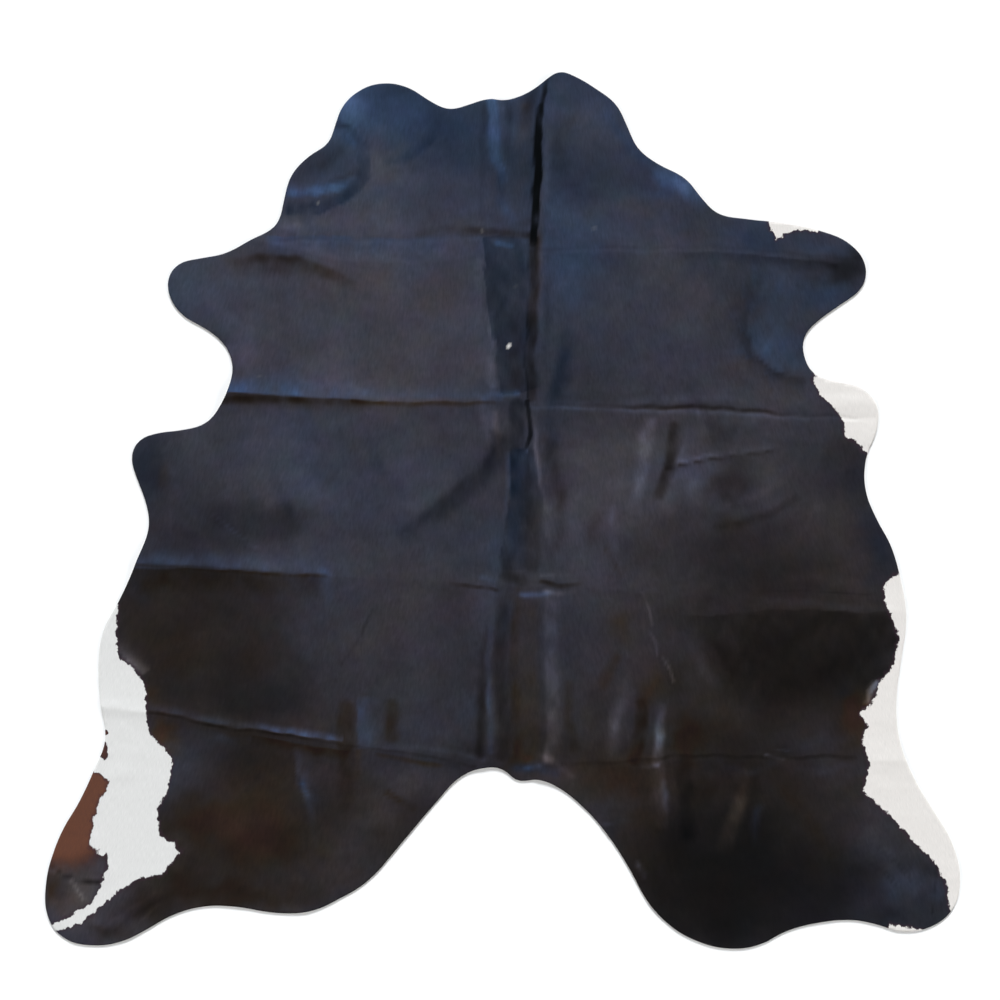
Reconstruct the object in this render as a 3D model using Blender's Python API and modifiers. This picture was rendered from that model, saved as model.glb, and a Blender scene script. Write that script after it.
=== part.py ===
"""A cowhide rug: one tanned hide with its hair on, laid out hair side up.

Metres, +Z up. The hide lies on z = 0 with its spine along Y: the neck end is at +Y, the tail and
the hind legs are at -Y, and the two cut edges of the belly are at -X and +X. The origin is the
middle of the rug's box, on the floor.
"""

from collections import namedtuple

import bmesh
import bpy
import numpy as np

CM = 0.01
MM = 0.001

# Driving sizes. The tables below are in centimetres, apart from the rises, which are in mm.
SHEET_THICKNESS = 4.0 * MM      # 2.5 mm of leather and 1.5 mm of short hair that lies flat
NET_HALF_WIDTH = 112.0          # the untrimmed sheet reaches a little past the outline
NET_HALF_LENGTH = 108.0
NET_SPACING = 6.5               # of the net's lines, away from the folds
NET_PASSES = 3                  # rounds that settle where two bent lines of the net cross
STEPS_PER_TURN = 3              # straight steps from each turn of the outline to the next
TRIM_HEIGHT = 0.2               # of the block that trims the sheet, well past its folds
WELD = 0.01 * MM

# The outline, anticlockwise from the middle of the neck's edge: each limb or hollow with the few
# turns (across, along) that give its edge its shape. One smooth curve runs through them all.
OUTLINE = {
    "neck": [(0.5, 98.3), (-3.6, 98.6), (-8.0, 97.3), (-12.8, 96.2)],
    "left ear": [(-17.5, 98.2), (-22.5, 101.3), (-28.8, 102.4), (-34.5, 100.5), (-38.4, 96.7)],
    "left cheek": [(-40.1, 92.3), (-41.8, 88.1), (-46.5, 84.8), (-50.6, 80.3), (-52.2, 75.2)],
    "left shoulder": [(-53.9, 69.0), (-56.0, 67.0), (-60.0, 65.0), (-66.5, 61.6), (-73.0, 60.3)],
    "left forefoot": [(-77.3, 59.2), (-79.9, 56.2), (-79.9, 51.8), (-76.6, 46.8), (-71.5, 43.8)],
    "left armpit": [(-67.0, 40.2), (-64.8, 35.5), (-65.3, 30.5), (-67.7, 25.0), (-71.2, 20.9)],
    "left elbow": [(-77.0, 19.2), (-83.0, 18.4), (-87.2, 16.6), (-88.9, 12.8), (-87.8, 8.2)],
    "left belly": [(-85.5, 2.0), (-84.8, -4.0), (-87.3, -11.2), (-89.7, -17.0), (-92.4, -22.6)],
    "left flank": [(-95.7, -28.8), (-96.9, -37.0), (-96.4, -46.0), (-95.2, -55.0)],
    "left hock": [(-97.8, -62.0), (-101.9, -70.7), (-105.0, -75.8), (-107.8, -82.4)],
    "left hind foot": [(-109.4, -89.0), (-109.0, -97.5), (-105.2, -102.5), (-98.5, -104.3)],
    "left sole": [(-91.5, -103.4), (-85.6, -100.6), (-79.8, -97.3), (-72.0, -95.0)],
    "left thigh": [(-64.0, -95.0), (-54.5, -96.5), (-46.0, -96.1), (-39.0, -93.0), (-32.5, -89.0)],
    "left of the tail": [(-24.8, -80.4), (-15.7, -69.7), (-10.0, -63.8), (-3.6, -61.6)],
    "tail": [(0.2, -62.1), (3.6, -64.8), (8.6, -64.5), (13.0, -66.2)],
    "right of the tail": [(18.6, -70.4), (24.5, -76.8), (30.5, -85.9), (34.6, -93.4)],
    "right thigh": [(39.6, -99.0), (46.0, -103.0), (54.8, -105.1), (62.0, -104.0)],
    "right sole": [(67.5, -101.1), (75.0, -99.0), (84.0, -98.2), (89.9, -99.3)],
    "right hind foot": [(96.0, -101.0), (102.8, -99.8), (107.8, -95.8), (109.7, -89.3)],
    "right hock": [(107.9, -80.0), (103.5, -72.3), (98.9, -64.7), (95.3, -55.6)],
    "right flank": [(94.4, -46.0), (95.5, -36.0), (96.8, -26.0), (95.3, -16.0)],
    "right belly": [(93.0, -8.2), (89.9, -2.5), (87.0, 5.0), (87.2, 12.8), (89.6, 19.2)],
    "right elbow": [(89.9, 24.6), (86.2, 29.2), (80.0, 30.8), (74.9, 32.6)],
    "right armpit": [(72.4, 36.7), (72.4, 41.7), (75.3, 45.2), (81.2, 49.5)],
    "right forefoot": [(86.2, 53.6), (87.0, 58.6), (83.4, 63.8), (76.5, 66.9), (67.0, 68.9)],
    "right shoulder": [(58.0, 69.9), (51.6, 71.2), (47.7, 74.9), (43.9, 79.5)],
    "right cheek": [(37.0, 83.2), (32.4, 86.9), (30.0, 91.8), (27.2, 97.3)],
    "right ear": [(22.5, 101.0), (17.2, 104.1), (13.7, 105.1), (10.0, 102.8), (6.0, 100.1)],
}

# A fold has its place and its rise at each station of its table. It dies away over its reach to
# either side of its line: a sharp ridge where it rises, and where its rise is below zero a trough
# that touches the floor between two low swells.
Fold = namedtuple("Fold", "name places rises reach_below reach_above")

# The folds across the hide, where it was folded for a journey, from the tail to the neck. Their
# places are distances along the hide at these distances across it.
STATIONS_ACROSS = (-112, -60, -44, -40, -20, 0, 12, 50, 112)
FOLDS_ACROSS = (
    Fold("hip fold", (-45, -52, -55, -56, -58, -61, -61, -60, -60),
         (4, 6, 6, 5, 3, 2, 2, 3, 2), 5, 6),
    Fold("rear fold", (-11, -14, -15.5, -16, -17, -18, -18, -21, -25),
         (8, 8, 7, 3, 2, 4, 5, 2, 4), 7, 6),
    Fold("front fold", (30, 28, 27, 27, 26, 26, 25, 24, 21),
         (9, 9, 8, 7, 6, 5, -3, -4, -3), 7, 5),
    Fold("shoulder fold", (68, 65, 61, 60, 59, 62, 62, 62, 59),
         (0, 4, 5, 5, 2, 1, 2, 3, 2), 7, 4),
)

# The folds along the hide, from its left to its right. Their places are distances across the hide
# at these distances along it.
STATIONS_ALONG = (-108, -70, -55, -25, 14, 28, 65, 108)
FOLDS_ALONG = (
    Fold("left rump fold", (-47, -47, -38, -36, -36, -36, -36, -36),
         (0, 4, 4, 0, 0, 0, 0, 0), 5, 6),
    Fold("left of the spine", (-5, -5, -4.5, -2, -1, -2, -3.5, -1.5),
         (0, 2, 3, 2, 3, 2, 2, 4), 3, 4),
    Fold("spine pleat", (9, 9, 9, 9.5, 6.3, 6.8, 7.8, 10.8),
         (0, 2, 4, 3, 7, 10, 13, 13), 1.6, 6),
    Fold("right rump fold", (36, 36, 35.5, 33, 39, 39, 36, 36),
         (0, 4, 5, 1, 3, 0, 0, 0), 5, 6),
)

HIDE_COLOUR = (0.022, 0.019, 0.020, 1.0)
HIDE_ROUGHNESS = 0.5


def material(name, colour, roughness):
    """A plain finish."""
    finish = bpy.data.materials.new(name)
    finish.use_nodes = True
    shader = finish.node_tree.nodes["Principled BSDF"]
    shader.inputs["Base Color"].default_value = colour
    shader.inputs["Roughness"].default_value = roughness
    shader.inputs["Metallic"].default_value = 0.0
    return finish


def net_lines(folds, stations, station, half_size):
    """Where the lines of one family of the net pass a station: along each fold's crest and feet and
    halfway up its sides, and evenly between the folds."""
    lines = []
    start = usual_start = -half_size
    for fold in folds:
        crest = np.interp(station, stations, fold.places)
        foot = crest - fold.reach_below
        usual_crest = np.mean(fold.places)
        between = round((usual_crest - fold.reach_below - usual_start) / NET_SPACING)
        lines.extend(np.linspace(start, foot, max(1, between), endpoint=False))
        lines.extend([foot, (foot + crest) / 2, crest, crest + fold.reach_above / 2])
        start = crest + fold.reach_above
        usual_start = usual_crest + fold.reach_above
    between = round((half_size - usual_start) / NET_SPACING)
    lines.extend(np.linspace(start, half_size, between + 1))
    return lines


def columns_at(along):
    """The distances across the hide of the net's lengthwise lines."""
    return net_lines(FOLDS_ALONG, STATIONS_ALONG, along, NET_HALF_WIDTH)


def rows_at(across):
    """The distances along the hide of the net's crosswise lines."""
    return net_lines(FOLDS_ACROSS, STATIONS_ACROSS, across, NET_HALF_LENGTH)


def crossing(column, row):
    """Where a lengthwise and a crosswise line of the net meet, both following the folds."""
    across = along = 0.0
    for _ in range(NET_PASSES):
        across = columns_at(along)[column]
        along = rows_at(across)[row]
    return across, along


def fold_height(fold, stations, station, place):
    """How far one fold lifts the hide's underside at a place, in mm."""
    offset = place - np.interp(station, stations, fold.places)
    rise = np.interp(station, stations, fold.rises)
    away = abs(offset) / (fold.reach_below if offset < 0 else fold.reach_above)
    if away >= 1:
        return 0.0
    if rise >= 0:
        return rise * (1 - away) ** 2
    return -rise * 4 * away * (1 - away)


def height_at(across, along):
    """How far the hide's underside stands off the floor, in mm: the tallest of its folds there."""
    heights = [fold_height(fold, STATIONS_ACROSS, across, along) for fold in FOLDS_ACROSS]
    heights += [fold_height(fold, STATIONS_ALONG, along, across) for fold in FOLDS_ALONG]
    return max(heights)


def folded_net(name, collection):
    """The untrimmed sheet: a grid whose lines run along the folds, lifted by them."""
    columns = len(columns_at(0.0))
    rows = len(rows_at(0.0))
    shape = bmesh.new()
    bmesh.ops.create_grid(shape, x_segments=columns - 1, y_segments=rows - 1, size=1.0)
    for point in shape.verts:
        column = round((point.co.x + 1) / 2 * (columns - 1))
        row = round((point.co.y + 1) / 2 * (rows - 1))
        across, along = crossing(column, row)
        point.co = (across * CM, along * CM, height_at(across, along) * MM)
    mesh = bpy.data.meshes.new(name)
    shape.to_mesh(mesh)
    shape.free()
    net = bpy.data.objects.new(name, mesh)
    collection.objects.link(net)
    return net


def trimming_block(collection):
    """The outline as an upright block, which trims the sheet to its shape."""
    turns = [turn for limb in OUTLINE.values() for turn in limb]
    curve = bpy.data.curves.new("outline", "CURVE")
    curve.dimensions = "2D"
    curve.fill_mode = "BOTH"
    curve.extrude = TRIM_HEIGHT / 2
    curve.resolution_u = STEPS_PER_TURN
    spline = curve.splines.new("BEZIER")
    spline.bezier_points.add(len(turns) - 1)
    spline.use_cyclic_u = True
    for point, (across, along) in zip(spline.bezier_points, turns):
        point.co = (across * CM, along * CM, 0.0)
        point.handle_left_type = "AUTO"
        point.handle_right_type = "AUTO"
    drawn = bpy.data.objects.new("outline_curve", curve)
    collection.objects.link(drawn)
    evaluated = drawn.evaluated_get(bpy.context.evaluated_depsgraph_get())
    mesh = bpy.data.meshes.new_from_object(evaluated)
    shape = bmesh.new()
    shape.from_mesh(mesh)
    bmesh.ops.remove_doubles(shape, verts=shape.verts, dist=WELD)
    bmesh.ops.recalc_face_normals(shape, faces=shape.faces)
    shape.to_mesh(mesh)
    shape.free()
    block = bpy.data.objects.new("outline_block", mesh)
    block.matrix_world = drawn.matrix_world
    collection.objects.link(block)
    bpy.data.objects.remove(drawn)
    block.hide_render = True
    block.display_type = "WIRE"
    return block


def hide(parts, cutters):
    """The tanned hide: the folded sheet made thick upwards, then trimmed to the outline."""
    sheet = folded_net("hide", parts)
    sheet.data.materials.append(material("hair_on_leather", HIDE_COLOUR, HIDE_ROUGHNESS))
    thick = sheet.modifiers.new("thickness", "SOLIDIFY")
    thick.thickness = SHEET_THICKNESS
    thick.offset = 1.0
    trim = sheet.modifiers.new("trim", "BOOLEAN")
    trim.operation = "INTERSECT"
    trim.object = trimming_block(cutters)
    return sheet


def collection(name):
    """A new collection in the scene."""
    group = bpy.data.collections.new(name)
    bpy.context.scene.collection.children.link(group)
    return group


for leftover in list(bpy.data.objects):
    bpy.data.objects.remove(leftover)
hide(collection("cowhide_rug"), collection("cutters"))
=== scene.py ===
"""The looks of a cowhide rug that lies on a pale floor, seen from straight above.

Metres, +Z up. The hide is a leather sheet with a coat of short hair on it, and both follow the
folds of the frame's solid. The tables of places are in centimetres from the rug's middle, across
the hide (to its right) and along it (to its neck), and their rises are in millimetres.
"""

from collections import namedtuple
import math

import bmesh
import bpy
import numpy as np
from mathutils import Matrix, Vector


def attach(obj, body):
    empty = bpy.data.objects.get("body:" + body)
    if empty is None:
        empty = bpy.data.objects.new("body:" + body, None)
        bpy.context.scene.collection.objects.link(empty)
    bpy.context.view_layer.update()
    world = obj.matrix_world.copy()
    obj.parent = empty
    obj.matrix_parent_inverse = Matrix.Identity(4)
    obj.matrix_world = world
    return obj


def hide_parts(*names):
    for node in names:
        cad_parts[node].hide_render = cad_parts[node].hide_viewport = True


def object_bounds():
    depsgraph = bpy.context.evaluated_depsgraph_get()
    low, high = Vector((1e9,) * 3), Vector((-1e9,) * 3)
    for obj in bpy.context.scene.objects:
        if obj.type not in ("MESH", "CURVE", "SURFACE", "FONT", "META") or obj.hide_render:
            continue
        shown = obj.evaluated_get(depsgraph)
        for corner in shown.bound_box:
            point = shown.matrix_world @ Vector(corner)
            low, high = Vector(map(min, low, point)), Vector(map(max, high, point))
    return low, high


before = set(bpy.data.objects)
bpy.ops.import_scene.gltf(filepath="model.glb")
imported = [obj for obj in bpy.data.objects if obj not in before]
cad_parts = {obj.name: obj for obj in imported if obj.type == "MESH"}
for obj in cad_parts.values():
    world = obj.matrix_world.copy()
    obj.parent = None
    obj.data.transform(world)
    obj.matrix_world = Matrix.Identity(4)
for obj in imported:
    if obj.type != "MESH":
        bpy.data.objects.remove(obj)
CAD_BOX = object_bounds()

CM = 0.01
MM = 0.001

LEATHER_THICKNESS = 2.4 * MM
COAT_THICKNESS = 1.6 * MM       # of the short hair that lies flat on the leather
COAT_PRESSED = 1.0              # mm, how far a trough can press the coat down
LEATHER_RISE = 0.94             # of the coat's, so that the hair covers its sharpest crests
LEATHER_SPACING = 0.95          # cm, mean, of the net that the leather is made on
COAT_SPACING = 0.66
# How the coat is turned down over the cut edge, step by step: how far out and how far down.
COAT_EDGE = ((0.5 * MM, 0.5 * MM), (0.3 * MM, 1.3 * MM))
MAP_MARGIN = 0.02               # of the coat's map, round the hide
NET_HALF_WIDTH = 112.0          # cm, past the outline
NET_HALF_LENGTH = 108.0
NET_PASSES = 3                  # rounds that settle where two bent lines of the net cross
CLUSTERING = 0.55               # how much closer than the mean the net's lines are at the folds
CREST_RADIUS = 0.35             # cm, of the rounding of a fold's crest
MARK_END = 1 / 8                # of a mark's longer reach, the least that it goes past its ends
FOLD_BLEND = 3                  # how softly the taller of two folds takes over
OUTLINE_STEP = 0.5              # cm, between the points of the outline
OUTLINE_ROUNDING = 2            # steps of it that are averaged, to either side
WELD = 0.01 * MM
LEVEL = 0.5                     # a face is level where its normal is steeper than this
SNAP = 0.2                      # of the net's spacing: points this near the outline move onto it

# The folds of the frame's solid: place and rise at each station, and how far each fold reaches to
# either side of its line. They lie where the solid's lie, and are lower than those where the hide
# looks nearly flat. Below zero a fold is a trough between two low swells.
Fold = namedtuple("Fold", "name places rises reach_below reach_above")
STATIONS_ACROSS = (-112, -60, -44, -40, -20, 0, 12, 50, 112)
FOLDS_ACROSS = (
    Fold("hip fold", (-45, -52, -55, -56, -58, -61, -61, -60, -60),
         (1, 6, 6, 5, 3, 2, 2, 3, 1), 5, 6),
    Fold("rear fold", (-11, -14, -15.5, -16, -17, -18, -18, -21, -25),
         (7, 8, 7, 3, 2, 4, 5, 2, 2), 7, 6),
    Fold("front fold", (30, 28, 27, 27, 26, 26, 25, 24, 21),
         (9, 9, 8, 7, 6, 5, -1.5, -2, -1), 7, 5),
    Fold("shoulder fold", (68, 65, 61, 60, 59, 62, 62, 62, 59),
         (0, 4, 5, 5, 2, 1, 2, 3, 2), 7, 4),
)
STATIONS_ALONG = (-108, -70, -55, -25, 14, 28, 65, 108)
FOLDS_ALONG = (
    Fold("left rump fold", (-47, -47, -38, -36, -36, -36, -36, -36),
         (0, 4, 4, 0, 0, 0, 0, 0), 5, 6),
    Fold("left of the spine", (-5, -5, -4.5, -2, -1, -2, -3.5, -1.5),
         (0, 2, 3, 2, 3, 2, 2, 4), 3, 4),
    Fold("spine pleat", (9, 9, 9, 9.5, 6.3, 6.8, 7.8, 10.8),
         (0, 2, 4, 3, 7, 10, 13, 13), 1.6, 6),
    Fold("right rump fold", (36, 36, 35.5, 33, 39, 39, 36, 36),
         (0, 4, 5, 1, 3, 0, 0, 0), 5, 6),
)

# Marks along a path: its turns (across, along, and how strong it is there, if not fully so), and
# how far the mark reaches to the left and to the right of someone who walks along it. It fades
# away from its path, but not over its core, which is a share of its reach.
# A crease is a mark that lifts the hide, as a soft ridge, or below zero as a trough.
Crease = namedtuple("Crease", "name path left right core rise")
CREASES = (
    Crease("front fold, right", ((12, 24.6), (45, 24), (55, 23.4), (85, 22)), 0.9, 0.7, 0, -1.6),
    Crease("shoulder line, left", ((-54, 65), (-20, 65), (2, 65.2)), 0.9, 0.9, 0, -1.2),
    Crease("shoulder line, right", ((9, 62), (45, 62.5), (88, 60)), 1.0, 1.0, 0, -1.0),
    Crease("swell from the spine", ((-23, -4, 0.4), (-10, 9), (-1, 19)), 6, 4, 0, 5.0),
    Crease("pinch by the spine", ((6.4, -16.6, 0.3), (10, -16.8), (17, -17.4, 0.4)),
           2.0, 1.2, 0, 3.0),
    Crease("right loin line", ((33, -20), (37, -33), (41, -41)), 0.5, 0.5, 0, 1.2),
    Crease("right belly line", ((41, 11.2), (52, 12.8), (66, 15.0)), 1.2, 0.6, 0, 1.4),
    Crease("right belly wedge", ((41.5, 12), (44, 19, 0.3)), 1.4, 1.4, 0, 1.6),
    Crease("right belly swell", ((35, 2), (36, 12), (37.4, 21)), 3, 2.6, 0, 2.2),
    Crease("far right ridge", ((60, -23.5, 0.3), (75, -24), (92, -25)), 3, 3, 0, 2.5),
    Crease("right of the tail", ((12, -60), (12.3, -50), (11, -22)), 2.5, 2.5, 0, 1.8),
    Crease("rump ripple, right", ((28, -56), (28, -44)), 2.4, 2.4, 0, 2.2),
    Crease("rump bead, right", ((37.6, -58), (37.6, -48)), 1.8, 1.8, 0, 1.5),
    Crease("thigh ripple, right", ((38.4, -73), (38, -63)), 1.8, 1.8, 0, 2.0),
    Crease("rump ripple, left", ((-32, -58), (-32.5, -44)), 3, 3, 0, 1.8),
    Crease("thigh ripple, left", ((-45.5, -80), (-46.5, -71), (-48, -58)), 2, 2, 0, 2.0),
    Crease("neck ripple", ((0.5, 80, 0.3), (-1.7, 87), (-2, 99)), 1.6, 1.6, 0, 2.6),
    Crease("cheek whorl", ((-51, 76), (-44, 76.4), (-36, 78.5)), 2.5, 1.5, 0, 2.6),
    Crease("ear line", ((-40, 92.4), (-36.2, 91.2)), 2.0, 0.8, 0, 1.5),
    Crease("shoulder crease, left", ((-58, 64, 0.5), (-50, 61.6), (-40, 57.6, 0.3)), 3, 3, 0, 2.0),
    Crease("left belly line", ((-68, -0.5), (-60, -7.5)), 0.8, 0.8, 0, 0.9),
    Crease("left loin line", ((-38, -37), (-31.5, -24)), 0.4, 0.4, 0, 0.8),
    Crease("left foot crease", ((-108, -85.3), (-102, -88.3), (-96.5, -88.9)), 0.6, 0.9, 0, -1.2),
    Crease("left foot scratch", ((-103, -89), (-100, -94)), 0.5, 0.5, 0, 0.7),
)

# The white patches, each round its inner edge and then round outside the hide.
WHITE_PATCHES = {
    "left flank": (
        (-99, -22.6), (-92.3, -22.6), (-92.6, -30), (-92.2, -35), (-88.5, -38), (-85.8, -41.5),
        (-85.4, -49), (-84.6, -54), (-81, -57), (-79.2, -60.5), (-80.3, -67), (-82.8, -71.5),
        (-82.3, -77.6), (-80.4, -79.2), (-78.2, -79.6), (-78.6, -80.8), (-76.9, -81.5),
        (-79.6, -84.5), (-81.8, -87.6), (-87, -88.2),
        (-92.5, -91.5), (-97, -95.5), (-101, -98.8), (-107, -101), (-109.5, -100), (-106, -98.6),
        (-101, -95.6), (-98, -93.8), (-96.4, -90), (-94.5, -85), (-94.8, -82.2), (-97.6, -82.8),
        (-96.9, -81), (-99.3, -80.8), (-98.6, -77.6), (-98, -74.4), (-98.4, -73.6), (-97, -72.3),
        (-97.4, -71.4), (-96.8, -69.8), (-94.8, -66.6), (-94.4, -64.6), (-97.2, -62.8),
        (-104, -60)),
    "right elbow": (
        (75.1, 36), (75.1, 32.2), (74.4, 31.4), (76.4, 27.5), (79.4, 25), (82, 20.8), (82.2, 17.6),
        (84.6, 16.8), (87.5, 13.6), (96, 12), (98, 36)),
    "right forefoot": (
        (63.9, 74), (64, 68.3), (65.6, 64.9), (68.2, 66.6), (71.5, 67.4), (76, 66.8), (78, 74)),
    "right flank": (
        (100, -14), (93.6, -15.6), (91.6, -18.4), (91.6, -21.6), (94.3, -27.4), (95.1, -31),
        (93.7, -37.5), (90.5, -41), (88.8, -46), (85.8, -48.4), (87.8, -52), (86.2, -54),
        (88, -61.2), (86.4, -67.4), (93.6, -73.7), (99, -79.8), (103.5, -84.2), (106.6, -89.5),
        (107, -94), (107.6, -98), (120, -98), (120, -14)),
    "right heel": ((92.2, -104), (92.8, -99.2), (96.4, -99.9), (100.6, -100.6), (101, -104)),
}
# The brown patch of the left hind leg, which the white one parts from the rest.
BROWN_PATCH = (
    (-112, -60), (-96, -60), (-90, -64), (-90, -81), (-96.5, -81.5), (-99.5, -83.8), (-103, -85),
    (-107, -84.8), (-112, -84.6))
# Spots of brown hair in the white: across, along, half width and half length.
BROWN_SPOTS = ((-95.5, -57.8, 0.9, 2.0), (-95.2, -53.4, 0.7, 0.8))
SPOT_DEPTH = 1.6                # cm, how deep in their colour their middles are

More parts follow.
